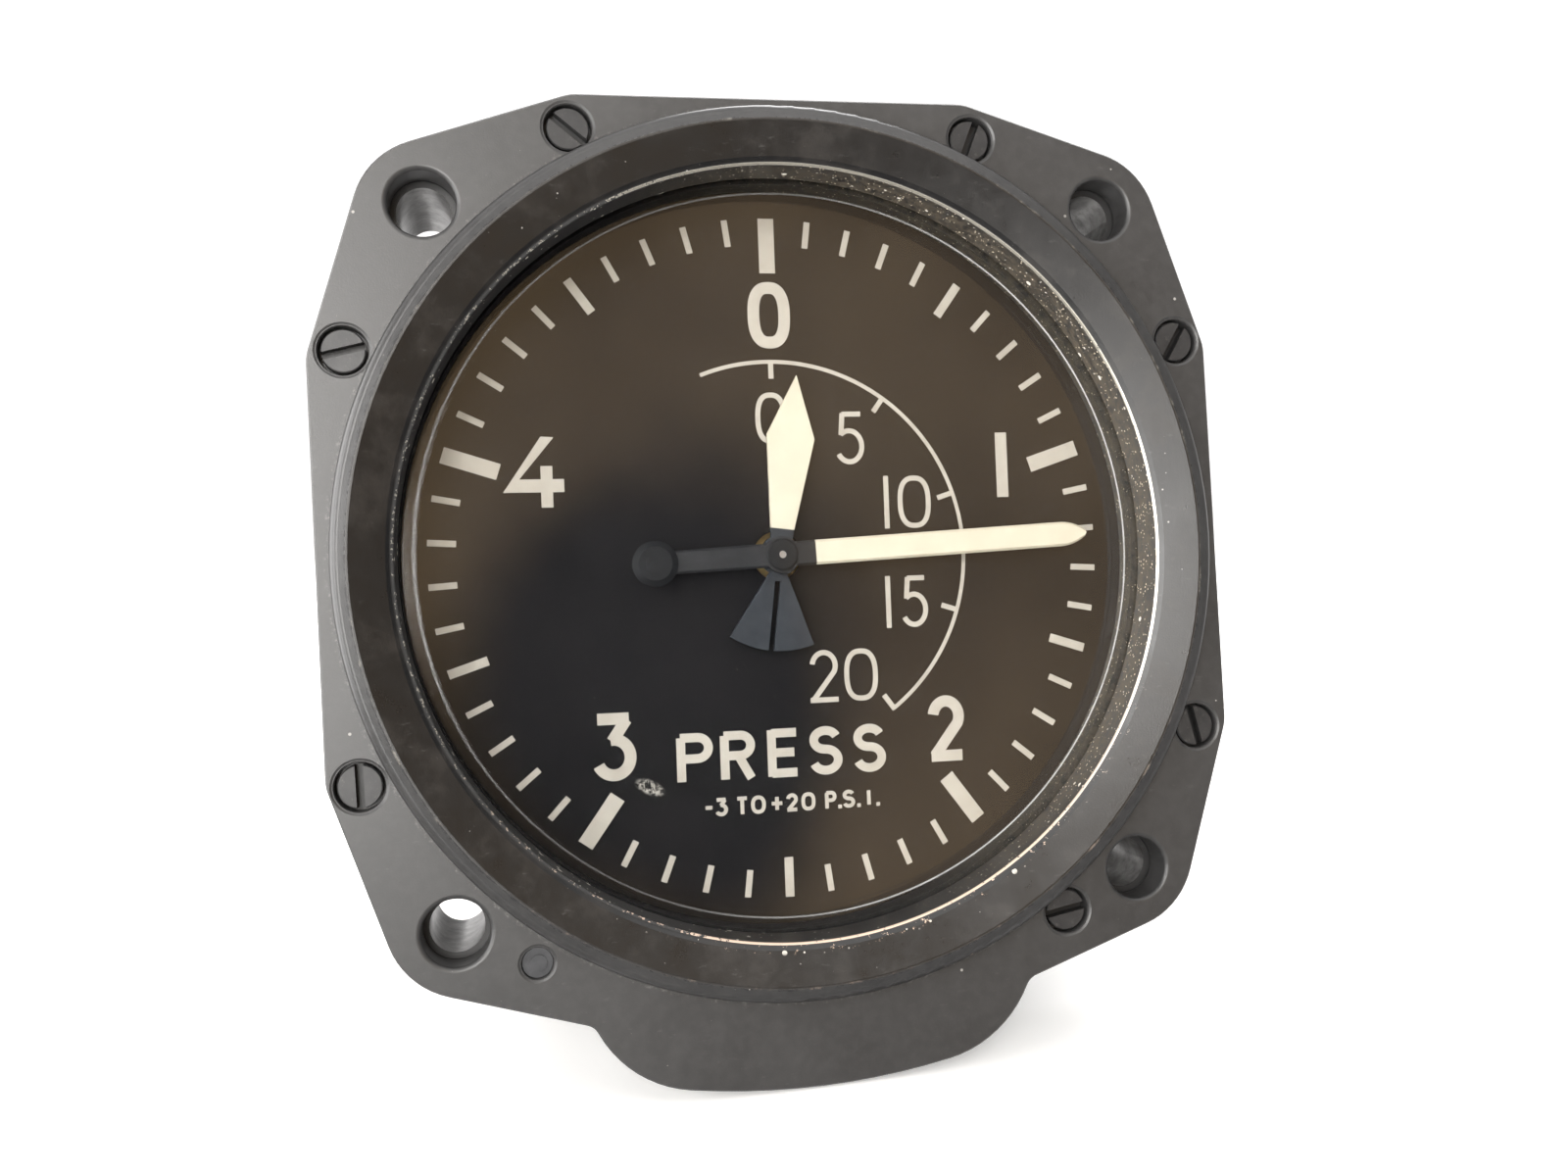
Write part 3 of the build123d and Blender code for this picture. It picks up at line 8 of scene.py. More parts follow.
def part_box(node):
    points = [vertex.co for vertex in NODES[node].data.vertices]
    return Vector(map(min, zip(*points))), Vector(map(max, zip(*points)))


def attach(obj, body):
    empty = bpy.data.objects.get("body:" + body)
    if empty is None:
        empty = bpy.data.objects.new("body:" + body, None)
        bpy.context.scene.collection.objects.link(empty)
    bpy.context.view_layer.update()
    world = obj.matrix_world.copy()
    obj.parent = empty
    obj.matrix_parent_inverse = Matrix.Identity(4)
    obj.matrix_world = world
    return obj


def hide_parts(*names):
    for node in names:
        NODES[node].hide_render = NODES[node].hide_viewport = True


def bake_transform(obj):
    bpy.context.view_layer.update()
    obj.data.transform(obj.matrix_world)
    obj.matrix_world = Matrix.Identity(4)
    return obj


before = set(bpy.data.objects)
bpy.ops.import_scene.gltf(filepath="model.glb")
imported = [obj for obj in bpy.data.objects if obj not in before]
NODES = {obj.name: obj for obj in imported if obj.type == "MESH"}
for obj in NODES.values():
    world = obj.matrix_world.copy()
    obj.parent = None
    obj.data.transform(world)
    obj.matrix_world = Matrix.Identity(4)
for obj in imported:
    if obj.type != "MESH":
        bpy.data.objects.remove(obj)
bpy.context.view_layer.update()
random.seed(7)

MM = 0.001
ROLL = math.radians(0.9)      # the dial sits this far clockwise of the flange


# ---------------------------------------------------------------------------
# small helpers for node materials; every length in them is in millimetres
# ---------------------------------------------------------------------------
class Tree:
    def __init__(self, name):
        self.mat = bpy.data.materials.new(name)
        self.mat.use_nodes = True
        self.nt = self.mat.node_tree
        self.nt.nodes.clear()
        self.out = self.nt.nodes.new("ShaderNodeOutputMaterial")
        self.p = self.nt.nodes.new("ShaderNodeBsdfPrincipled")
        self.nt.links.new(self.p.outputs[0], self.out.inputs[0])
        tc = self.nt.nodes.new("ShaderNodeTexCoord")
        sc = self.nt.nodes.new("ShaderNodeVectorMath")
        sc.operation = "SCALE"
        sc.inputs["Scale"].default_value = 1000.0
        self.link(tc.outputs["Object"], sc.inputs[0])
        self.co = sc.outputs[0]
        self._xyz = None

    def link(self, a, b):
        self.nt.links.new(a, b)

    def put(self, sock, v):
        if isinstance(v, bpy.types.NodeSocket):
            self.link(v, sock)
        else:
            sock.default_value = v

    def xyz(self):
        if self._xyz is None:
            s = self.nt.nodes.new("ShaderNodeSeparateXYZ")
            self.link(self.co, s.inputs[0])
            self._xyz = s.outputs
        return self._xyz

    def math(self, op, a, b=0.0, c=None, clamp=False):
        n = self.nt.nodes.new("ShaderNodeMath")
        n.operation = op
        n.use_clamp = clamp
        self.put(n.inputs[0], a)
        self.put(n.inputs[1], b)
        if c is not None:
            self.put(n.inputs[2], c)
        return n.outputs[0]

    def radius(self, cx=0.0, cz=0.0):
        x, y, z = self.xyz()
        dx = self.math("SUBTRACT", x, cx)
        dz = self.math("SUBTRACT", z, cz)
        return self.math("SQRT", self.math("ADD", self.math("MULTIPLY", dx, dx), self.math("MULTIPLY", dz, dz)))

    def step(self, v, lo, hi):
        n = self.nt.nodes.new("ShaderNodeMapRange")
        n.interpolation_type = "SMOOTHSTEP"
        self.put(n.inputs[0], v)
        n.inputs[1].default_value = lo
        n.inputs[2].default_value = hi
        n.inputs[3].default_value = 0.0
        n.inputs[4].default_value = 1.0
        return n.outputs[0]

    def band(self, v, a, b, soft=0.05):
        return self.math("MULTIPLY", self.step(v, a - soft, a + soft), self.math("SUBTRACT", 1.0, self.step(v, b - soft, b + soft)))

    def mul(self, *vs):
        out = vs[0]
        for v in vs[1:]:
            out = self.math("MULTIPLY", out, v)
        return out

    def inv(self, v):
        return self.math("SUBTRACT", 1.0, v)

    def most(self, a, b):
        return self.math("MAXIMUM", a, b)

    def noise(self, scale, detail=3.0, rough=0.55, stretch=None, w=None, distort=0.0):
        n = self.nt.nodes.new("ShaderNodeTexNoise")
        co = self.co
        if stretch is not None or w is not None:
            m = self.nt.nodes.new("ShaderNodeMapping")
            if stretch is not None:
                m.inputs["Scale"].default_value = stretch
            if w is not None:
                m.inputs["Location"].default_value = (w, w * 1.7, w * 0.6)
            self.link(co, m.inputs[0])
            co = m.outputs[0]
        self.link(co, n.inputs["Vector"])
        n.inputs["Scale"].default_value = scale
        n.inputs["Detail"].default_value = detail
        n.inputs["Roughness"].default_value = rough
        n.inputs["Distortion"].default_value = distort
        return n.outputs["Fac"]

    def specks(self, scale, size, w=0.0, keep=0.5):
        """Round specks: one in each voronoi cell, only in the share `keep` of the cells."""
        n = self.nt.nodes.new("ShaderNodeTexVoronoi")
        m = self.nt.nodes.new("ShaderNodeMapping")
        m.inputs["Location"].default_value = (w, w * 1.3, w * 0.7)
        self.link(self.co, m.inputs[0])
        self.link(m.outputs[0], n.inputs["Vector"])
        n.inputs["Scale"].default_value = scale
        s = self.nt.nodes.new("ShaderNodeSeparateColor")
        self.link(n.outputs["Color"], s.inputs[0])
        chosen = self.math("LESS_THAN", s.outputs[0], keep)
        r = self.math("MULTIPLY", s.outputs[1], size)
        r = self.math("ADD", r, size * 0.3)
        near = self.math("LESS_THAN", n.outputs["Distance"], r)
        return self.math("MULTIPLY", chosen, near)

    def ramp(self, v, stops):
        n = self.nt.nodes.new("ShaderNodeValToRGB")
        el = n.color_ramp.elements
        while len(el) < len(stops):
            el.new(0.5)
        for e, (pos, col) in zip(el, stops):
            e.position = pos
            e.color = (*col, 1.0) if len(col) == 3 else col
        self.put(n.inputs[0], v)
        return n.outputs[0]

    def mix(self, f, a, b):
        n = self.nt.nodes.new("ShaderNodeMix")
        n.data_type = "RGBA"
        self.put(n.inputs[0], f)
        self.put(n.inputs[6], a if isinstance(a, bpy.types.NodeSocket) else (*a, 1.0))
        self.put(n.inputs[7], b if isinstance(b, bpy.types.NodeSocket) else (*b, 1.0))
        return n.outputs[2]

    def lerp(self, f, a, b):
        n = self.nt.nodes.new("ShaderNodeMix")
        n.data_type = "FLOAT"
        self.put(n.inputs[0], f)
        self.put(n.inputs[2], a)
        self.put(n.inputs[3], b)
        return n.outputs[0]

    def colour(self, v):
        self.put(self.p.inputs["Base Color"], v if isinstance(v, bpy.types.NodeSocket) else (*v, 1.0))

    def rough(self, v):
        self.put(self.p.inputs["Roughness"], v)

    def metal(self, v):
        self.put(self.p.inputs["Metallic"], v)

    def bump(self, height, dist, strength=1.0, chain=None):
        n = self.nt.nodes.new("ShaderNodeBump")
        n.inputs["Strength"].default_value = strength
        n.inputs["Distance"].default_value = dist * MM
        self.link(height, n.inputs["Height"])
        if chain is not None:
            self.link(chain, n.inputs["Normal"])
        self.link(n.outputs[0], self.p.inputs["Normal"])
        return n.outputs[0]


# ---------------------------------------------------------------------------
# materials
# ---------------------------------------------------------------------------
def mat_bezel():
    t = Tree("bezel_finish")
    x, y, z = t.xyz()
    r = t.radius()
    cloud = t.noise(0.09, 4.0, 0.6)
    mottle = t.noise(1.1, 5.0, 0.65, w=2.0)
    grain = t.noise(5.5, 3.0, 0.6, w=3.0)
    base = t.ramp(cloud, [(0.3, (0.026, 0.0255, 0.0257)), (0.7, (0.035, 0.0342, 0.0342))])
    base = t.mix(t.mul(t.step(mottle, 0.35, 0.7), 0.35), base, (0.050, 0.0487, 0.0475))
    # painted shade: the sloping face of the ring has the plate's finish but is painted near black, much darker than the
    # plate
    slope = t.mul(t.band(r, 35.3, 38.75, 0.12), t.inv(t.step(y, -0.5, -0.4)))
    base = t.mix(t.math("MULTIPLY", slope, 0.95), base, (0.0040, 0.0040, 0.0044))
    smudge = t.noise(0.24, 5.0, 0.62, w=51.0)
    base = t.mix(t.mul(slope, t.step(smudge, 0.46, 0.66), 0.30), base, (0.036, 0.030, 0.025))
    # thin scuffs that let the grey show
    scuff = t.step(t.noise(0.55, 6.0, 0.75, stretch=(1.0, 1.0, 3.2), w=11.0), 0.60, 0.72)
    col = t.mix(t.math("MULTIPLY", scuff, 0.22), base, (0.12, 0.116, 0.112))
    # which side of the ring the light falls on: 1 from the upper left over the right to the bottom
    lit_side = t.step(t.math("ADD", x, t.math("MULTIPLY", z, 0.05)), -17.0, -6.0)
    # the lit right half: the dust and glints below are laid only here, as painted light
    right = t.step(t.math("ADD", x, t.math("MULTIPLY", z, 0.35)), -6.0, 24.0)
    # painted shade inside the bore: nearly black; real brown dust, laid only on the right where the light falls
    shaded_bore = t.mul(t.step(y, -0.42, -0.30), t.inv(t.step(r, 35.12, 35.3)))
    col = t.mix(t.math("MULTIPLY", shaded_bore, 0.80), col, (0.012, 0.0115, 0.0115))
    dustn = t.noise(1.3, 5.0, 0.75, w=5.0)
    dust = t.mul(shaded_bore, right, t.step(dustn, 0.34, 0.60))
    deepb = t.step(y, -0.2, 1.2)
    col = t.mix(t.math("MULTIPLY", dust, t.lerp(deepb, 0.35, 0.62)), col, (0.130, 0.104, 0.070))
    # painted glints: golden specks of dust flakes, bright only on the lit right side of the bore
    flakes_and_glints = t.mul(shaded_bore, right, t.most(t.specks(3.4, 0.24, w=6.0, keep=0.42), t.specks(1.7, 0.13, w=16.0, keep=0.40)))
    col = t.mix(t.math("MULTIPLY", flakes_and_glints, 0.95), col, (0.90, 0.78, 0.58))
    low = t.inv(t.step(z, -34.0, -8.0))
    sp1 = t.specks(1.7, 0.14, w=2.0, keep=0.38)
    sp2 = t.specks(0.72, 0.16, w=9.0, keep=0.35)
    specks = t.mul(t.most(sp1, sp2), t.most(t.math("MULTIPLY", shaded_bore, 0.9), t.mul(low, t.band(r, 34.0, 36.0, 0.2), 0.7)))
    col = t.mix(t.math("MULTIPLY", specks, 0.95), col, (0.84, 0.79, 0.70))
    few = t.mul(t.specks(0.36, 0.042, w=4.0, keep=0.55), t.inv(shaded_bore))
    tiny = t.mul(t.specks(1.0, 0.045, w=14.0, keep=0.22), t.inv(shaded_bore))
    col = t.mix(t.math("MULTIPLY", t.most(few, tiny), 0.6), col, (0.42, 0.40, 0.37))
    # dust that has gathered where the ring meets the plate
    seam = t.mul(t.band(r, 40.1, 40.75, 0.12), t.step(y, -0.35, -0.02), t.step(t.noise(2.4, 5.0, 0.75, w=41.0), 0.52, 0.66))
    col = t.mix(t.math("MULTIPLY", seam, 0.35), col, (0.22, 0.21, 0.195))
    # bare metal along the inner edge of the lip, chipped, and a few flakes lower down; they lie mostly on the lit side,
    # so they are wear and also a painted highlight
    chip = t.noise(2.1, 5.0, 0.72, w=25.0)
    front = t.mul(t.inv(t.step(y, 0.0, 0.1)), t.step(r, 35.04, 35.09))
    lip = t.mul(t.band(r, 35.09, 35.27, 0.03), front, t.step(t.math("ADD", chip, t.math("MULTIPLY", lit_side, 0.22)), 0.56, 0.61))
    flake = t.mul(t.band(r, 35.15, 36.0, 0.1), front, lit_side, t.most(t.mul(low, t.step(t.noise(1.5, 6.0, 0.8, w=27.0), 0.60, 0.64)),
                                                                  t.step(t.noise(1.9, 6.0, 0.8, w=28.0), 0.68, 0.71)))
    lip = t.most(lip, flake)
    edge = t.mul(t.band(r, 38.72, 38.95, 0.04), t.step(t.noise(0.35, 6.0, 0.75, w=35.0), 0.54, 0.68))
    rim = t.mul(t.band(r, 39.9, 40.3, 0.08), t.band(y, -1.5, -0.8, 0.15), t.step(t.noise(0.9, 6.0, 0.75, w=31.0), 0.62, 0.70))
    bare = t.most(lip, t.most(t.math("MULTIPLY", rim, 0.22), t.math("MULTIPLY", edge, 0.13)))
    col = t.mix(bare, col, t.mix(low, (0.84, 0.79, 0.68), (0.86, 0.66, 0.52)))
    t.colour(col)
    t.metal(t.math("MULTIPLY", bare, 0.9))
    ro = t.lerp(cloud, 0.35, 0.45)
    ro = t.math("ADD", ro, t.math("MULTIPLY", t.math("SUBTRACT", mottle, 0.5), 0.12))
    ring = t.mul(t.band(r, 35.2, 39.0, 0.2), t.inv(t.step(y, -0.7, -0.4)))
    ro = t.math("SUBTRACT", ro, t.math("MULTIPLY", ring, 0.06))
    ro = t.math("ADD", ro, t.mul(slope, t.math("SUBTRACT", smudge, 0.5), 0.34))
    land = t.mul(t.band(r, 38.8, 40.2, 0.1), t.inv(t.step(y, -0.5, -0.3)))
    ro = t.math("SUBTRACT", ro, t.math("MULTIPLY", land, 0.08))
    ro = t.lerp(t.math("MULTIPLY", shaded_bore, 0.9), ro, 0.36)
    ro = t.lerp(t.most(t.math("MULTIPLY", dust, 0.25), specks), ro, 0.9)
    ro = t.lerp(t.mul(t.band(r, 35.0, 35.4, 0.05), t.inv(lit_side)), ro, 0.75)
    ro = t.lerp(lip, ro, 0.30)
    t.rough(ro)
    t.p.inputs["Specular IOR Level"].default_value = 0.72
    b = t.bump(grain, 0.014, 0.55)
    t.bump(t.most(specks, flakes_and_glints), 0.03, 0.6, chain=b)
    return t.mat


def mat_paint(name, dark, light, ro=(0.35, 0.5), wear=(0.3, 0.29, 0.27), scale=0.06, wearamt=0.35, lugs=False):
    t = Tree(name)
    cloud = t.noise(scale, 4.0, 0.6)
    base = t.ramp(cloud, [(0.3, dark), (0.7, light)])
    scuff = t.step(t.noise(0.35, 7.0, 0.75, w=13.0), 0.62, 0.72)
    col = t.mix(t.math("MULTIPLY", scuff, wearamt), base, wear)
    dots = t.specks(0.4, 0.05, w=3.0, keep=0.5)
    col = t.mix(t.math("MULTIPLY", dots, 0.6), col, (0.4, 0.38, 0.34))
    rr = t.lerp(t.noise(0.4, 4.0, 0.6, w=2.0), ro[0], ro[1])
    if lugs:
        # the bore of each lug is bare, smudged metal
        x, y, z = t.xyz()
        dx = t.math("SUBTRACT", t.math("ABSOLUTE", x), 31.42)
        dz = t.math("SUBTRACT", t.math("ABSOLUTE", z), 31.42)
        d = t.math("SQRT", t.math("ADD", t.math("MULTIPLY", dx, dx), t.math("MULTIPLY", dz, dz)))
        hole = t.mul(t.inv(t.step(d, 2.44, 2.50)), t.step(y, 3.52, 3.6))
        bare = t.ramp(t.noise(0.7, 5.0, 0.7, w=9.0), [(0.32, (0.16, 0.157, 0.153)), (0.66, (0.40, 0.395, 0.39))])
        col = t.mix(hole, col, bare)
        t.metal(t.math("MULTIPLY", hole, 0.7))
        rr = t.lerp(hole, rr, 0.34)
    t.colour(col)
    t.rough(rr)
    t.p.inputs["Specular IOR Level"].default_value = 0.5
    t.bump(t.noise(3.0, 3.0, 0.6), 0.02, 0.5)
    return t.mat


def mat_metal(name, dark, light, ro=(0.25, 0.42), turned=None, brushed=None, tint=None, bump=0.006):
    t = Tree(name)
    n1 = t.noise(0.35, 5.0, 0.6)
    col = t.ramp(n1, [(0.3, dark), (0.72, light)])
    if tint is not None:
        spot = t.step(t.noise(0.22, 5.0, 0.7, w=17.0), 0.58, 0.78)
        col = t.mix(t.math("MULTIPLY", spot, 0.55), col, tint)
    t.colour(col)
    t.metal(1.0)
    t.rough(t.lerp(t.noise(1.3, 4.0, 0.6, w=6.0), ro[0], ro[1]))
    if turned is not None:
        r = t.radius(*turned)
        h = t.math("SINE", t.math("MULTIPLY", r, 38.0))
        h = t.math("ADD", h, t.math("MULTIPLY", t.noise(6.0, 2.0, 0.5), 1.2))
        t.bump(h, bump, 0.35)
    elif brushed is not None:
        t.bump(t.noise(2.0, 4.0, 0.6, stretch=brushed), bump * 1.5, 0.5)
    else:
        t.bump(t.noise(6.0, 4.0, 0.6), bump, 0.45)
    return t.mat


def mat_inner_ring(name):
    t = Tree(name)
    x, y, z = t.xyz()
    # the lit right side: real dust, plus golden specks that are painted glints, laid only there
    right = t.step(t.math("ADD", x, t.math("MULTIPLY", z, 0.35)), -6.0, 24.0)
    col = t.ramp(t.noise(0.6, 4.0, 0.6), [(0.3, (0.012, 0.0118, 0.0118)), (0.7, (0.020, 0.0196, 0.0196))])
    dust = t.mul(right, t.step(t.noise(1.3, 5.0, 0.75, w=5.0), 0.30, 0.60))
    col = t.mix(t.math("MULTIPLY", dust, 0.60), col, (0.125, 0.102, 0.070))
    flakes_and_glints = t.most(t.mul(right, t.specks(3.2, 0.22, w=6.0, keep=0.42)), t.mul(t.specks(2.0, 0.10, w=3.0, keep=0.25)))
    col = t.mix(t.math("MULTIPLY", flakes_and_glints, 0.9), col, (0.70, 0.62, 0.46))
    t.colour(col)
    t.rough(t.lerp(dust, 0.42, 0.62))
    t.bump(t.noise(4.0, 4.0, 0.6), 0.012, 0.5)
    return t.mat


def mat_rubber():
    t = Tree("seal_rubber")
    t.colour(t.ramp(t.noise(0.8, 4.0, 0.6), [(0.3, (0.018, 0.018, 0.018)), (0.7, (0.04, 0.039, 0.038))]))
    t.rough(t.lerp(t.noise(2.0, 3.0, 0.6, w=4.0), 0.65, 0.85))
    t.bump(t.noise(5.0, 3.0, 0.6), 0.02, 0.5)
    return t.mat


def mat_dial():
    t = Tree("dial_paint")
    x, y, z = t.xyz()
    col = t.ramp(t.noise(0.12, 4.0, 0.6), [(0.3, (0.0060, 0.0060, 0.0066)), (0.7, (0.0095, 0.0092, 0.0098))])
    dust = t.specks(0.36, 0.035, w=8.0, keep=0.55)
    dust2 = t.specks(0.8, 0.03, w=1.0, keep=0.2)
    col = t.mix(t.math("MULTIPLY", t.most(dust, dust2), 0.75), col, (0.36, 0.33, 0.28))
    # the one rubbed patch by the lower left
    px, pz = -13.1 * math.cos(ROLL) + -21.6 * math.sin(ROLL), 13.1 * math.sin(ROLL) - 21.6 * math.cos(ROLL)
    dx = t.math("DIVIDE", t.math("SUBTRACT", x, px), 1.35)
    dz = t.math("DIVIDE", t.math("ADD", t.math("SUBTRACT", z, pz), t.math("MULTIPLY", t.math("SUBTRACT", x, px), 0.35)), 0.75)
    d = t.math("SQRT", t.math("ADD", t.math("MULTIPLY", dx, dx), t.math("MULTIPLY", dz, dz)))
    patch = t.mul(t.inv(t.step(d, 0.55, 1.15)), t.step(t.noise(2.6, 6.0, 0.75, w=7.0), 0.46, 0.60))
    col = t.mix(t.math("MULTIPLY", patch, 0.75), col, (0.55, 0.53, 0.48))
    t.colour(col)
    t.rough(t.lerp(t.noise(0.6, 4.0, 0.6, w=2.0), 0.55, 0.75))
    t.p.inputs["Specular IOR Level"].default_value = 0.07
    t.bump(t.noise(5.0, 3.0, 0.6), 0.004, 0.3)
    return t.mat


def mat_marks():
    t = Tree("dial_white")
    t.colour(t.ramp(t.noise(0.5, 5.0, 0.6), [(0.25, (0.345, 0.318, 0.274)), (0.75, (0.405, 0.382, 0.338))]))
    t.rough(t.lerp(t.noise(2.0, 3.0, 0.6, w=3.0), 0.55, 0.75))
    t.bump(t.noise(9.0, 3.0, 0.6), 0.006, 0.4)
    return t.mat


def cream(t):
    c = t.ramp(t.noise(0.4, 5.0, 0.6), [(0.25, (0.495, 0.458, 0.362)), (0.75, (0.545, 0.508, 0.408))])
    rub = t.mul(t.step(t.noise(1.4, 6.0, 0.75, w=19.0), 0.64, 0.70), 0.35)
    return t.mix(rub, c, (0.40, 0.345, 0.25))


def dark_paint(t, a=(0.010, 0.0105, 0.012), b=(0.019, 0.020, 0.022)):
    return t.ramp(t.noise(0.5, 4.0, 0.6, w=5.0), [(0.3, a), (0.7, b)])


def mat_long_pointer():
    t = Tree("long_pointer_paint")
    x, y, z = t.xyz()
    a = math.radians(90.0 - 87.4) - ROLL
    along = t.math("ADD", t.math("MULTIPLY", x, math.cos(a)), t.math("MULTIPLY", z, math.sin(a)))
    m = t.step(along, 3.24, 3.36)
    t.colour(t.mix(m, dark_paint(t), cream(t)))
    t.rough(t.lerp(m, 0.62, 0.6))
    t.p.inputs["Specular IOR Level"].default_value = 0.25
    t.bump(t.noise(5.0, 3.0, 0.6), 0.006, 0.4)
    return t.mat


def mat_short_pointer():
    t = Tree("short_pointer_paint")
    x, y, z = t.xyz()
    a = math.radians(90.0 - 7.4) - ROLL
    along = t.math("ADD", t.math("MULTIPLY", x, math.cos(a)), t.math("MULTIPLY", z, math.sin(a)))
    m = t.step(along, 2.5, 2.62)
    t.colour(t.mix(m, dark_paint(t, (0.014, 0.017, 0.022), (0.024, 0.029, 0.036)), cream(t)))
    t.rough(t.lerp(m, 0.62, 0.6))
    t.p.inputs["Specular IOR Level"].default_value = 0.25
    t.bump(t.noise(5.0, 3.0, 0.6), 0.006, 0.4)
    return t.mat


def mat_hub():
    t = Tree("hub_black")
    t.colour(dark_paint(t, (0.004, 0.0045, 0.0055), (0.008, 0.0090, 0.0105)))
    t.rough(t.lerp(t.noise(2.0, 3.0, 0.6, w=3.0), 0.5, 0.65))
    t.p.inputs["Specular IOR Level"].default_value = 0.20
    t.bump(t.noise(6.0, 3.0, 0.6), 0.008, 0.4)
    return t.mat


def mat_glass():
    t = Tree("window_glass")
    t.colour((0.985, 0.99, 0.985))
    t.p.inputs["IOR"].default_value = 1.5
    smear = t.step(t.noise(0.10, 5.0, 0.65, w=3.0, distort=1.0), 0.45, 0.75)
    x, y, z = t.xyz()
    r = t.radius()
    face = t.inv(t.step(y, 3.6, 3.7))
    ro = t.lerp(smear, 0.012, 0.030)
    ro = t.lerp(t.mul(face, t.step(r, 33.65, 33.9)), ro, 0.07)
    ro = t.lerp(t.mul(face, t.band(r, 33.60, 33.84, 0.09)), ro, 0.24)
    t.rough(ro)
    # painted highlight: a white line round the glass edge, strongest on the lit right side
    right = t.step(t.math("ADD", x, t.math("MULTIPLY", z, -0.25)), -8.0, 26.0)
    painted_edge_highlight = t.mul(face, t.band(r, 33.62, 33.78, 0.05), t.lerp(right, 0.08, 0.42))
    painted_edge_highlight = t.mul(painted_edge_highlight, t.lerp(t.noise(0.5, 5.0, 0.7, w=8.0), 0.5, 1.3))
    t.put(t.p.inputs["Transmission Weight"], t.inv(painted_edge_highlight))
    return t.mat


def mat_screw():
    t = Tree("screw_black")
    worn = t.step(t.noise(1.6, 6.0, 0.72, w=23.0), 0.58, 0.68)
    col = t.mix(t.math("MULTIPLY", worn, 0.35), dark_paint(t, (0.020, 0.020, 0.021), (0.036, 0.035, 0.035)), (0.20, 0.19, 0.18))
    # near black below the head face: in the slots and round the heads
    deep = t.step(t.xyz()[1], 0.50, 0.85)
    col = t.mix(t.math("MULTIPLY", deep, 0.85), col, (0.006, 0.006, 0.006))
    t.colour(col)
    t.metal(t.math("MULTIPLY", worn, 0.4))
    t.rough(t.lerp(t.noise(1.4, 4.0, 0.6, w=2.0), 0.30, 0.48))
    t.bump(t.noise(3.5, 4.0, 0.6), 0.02, 0.5)
    return t.mat


M = {
    "bezel": mat_bezel(),
    "case": mat_paint("case_finish", (0.022, 0.0215, 0.0215), (0.036, 0.035, 0.035), lugs=True),
    "glass": mat_glass(),
    "rubber": mat_rubber(),
    "screw": mat_screw(),
    "seal_compound": mat_paint("seal_compound", (0.030, 0.031, 0.034), (0.055, 0.056, 0.060), ro=(0.5, 0.7), scale=0.8, wearamt=0.1),
    "ring": mat_inner_ring("retaining_ring_black"),
    "inner_seal": mat_inner_ring("inner_seal"),
    "alu": mat_metal("machined_aluminium", (0.60, 0.60, 0.59), (0.72, 0.72, 0.71), turned=(0.0, 0.0)),
    "steel": mat_metal("machined_steel", (0.48, 0.47, 0.46), (0.62, 0.61, 0.60), tint=(0.36, 0.31, 0.26)),
    "plated": mat_metal("plated_steel", (0.55, 0.54, 0.50), (0.68, 0.66, 0.61), ro=(0.28, 0.45), tint=(0.42, 0.36, 0.26)),
    "brass": mat_metal("machined_brass", (0.66, 0.47, 0.20), (0.80, 0.60, 0.30), turned=(0.0, 0.0), tint=(0.48, 0.32, 0.15)),
    "bronze": mat_metal("spring_bronze", (0.66, 0.42, 0.24), (0.80, 0.55, 0.34), ro=(0.2, 0.35), tint=(0.50, 0.30, 0.18)),
    "filter": mat_metal("sintered_filter", (0.40, 0.30, 0.16), (0.62, 0.48, 0.28), ro=(0.6, 0.8), bump=0.05),
    "dial": mat_dial(),
    "marks": mat_marks(),
    "long_pointer": mat_long_pointer(),
    "short_pointer": mat_short_pointer(),
    "hub": mat_hub(),
}

USE = {
    "bezel": "bezel", "window_glass": "glass", "front_glass_gasket": "inner_seal", "rear_glass_gasket": "inner_seal",
    "glass_retaining_ring": "ring", "bezel_screws": "screw", "seal_screw": "screw", "screw_seal": "seal_compound",
    "case_gasket": "rubber", "case_body": "case", "chassis_screw_washers": "rubber", "chassis_screws": "plated",
    "pressure_union": "plated", "union_washer": "rubber", "union_lock_nut": "plated", "vent_plug": "plated", "vent_filter": "filter",
    "dial": "dial", "dial_feet": "brass", "dial_foot_nuts": "brass", "movement_front_plate": "brass", "movement_back_plate": "brass",
    "chassis_rear_plate": "alu", "movement_pillars": "brass", "chassis_pillars": "alu", "pillar_screws": "steel", "pivot_bushes": "bronze",
    "intermediate_stud": "steel", "stud_clip": "steel", "hairspring": "bronze", "hairspring_stud": "brass",
    "capsule_stack": "bronze", "capsule_base": "brass", "capsule_base_nut": "brass", "capsule_bracket": "alu", "bracket_screws": "steel",
    "feed_pipe": "brass", "long_pointer": "long_pointer", "pointer_hub": "hub", "pointer_counterweight": "hub",
    "centre_arbor": "steel", "reduction_pinion": "steel", "short_pointer": "short_pointer", "short_pointer_pipe": "hub",
    "sleeve_wheel": "brass", "intermediate_wheel": "brass", "intermediate_pinion": "steel", "second_arbor": "steel",
    "second_wheel": "brass", "hairspring_collet": "brass", "rocking_shaft": "steel", "toothed_sector": "brass", "rocking_arm": "brass",
    "arm_pin": "steel", "connecting_link": "steel", "capsule_fork": "brass", "fork_pin": "steel",
}
for name, obj in NODES.items():
    mat = M[USE[name]]
    for s in obj.material_slots:
        s.material = mat

# light reaches the dial through the window
NODES["window_glass"].visible_shadow = False


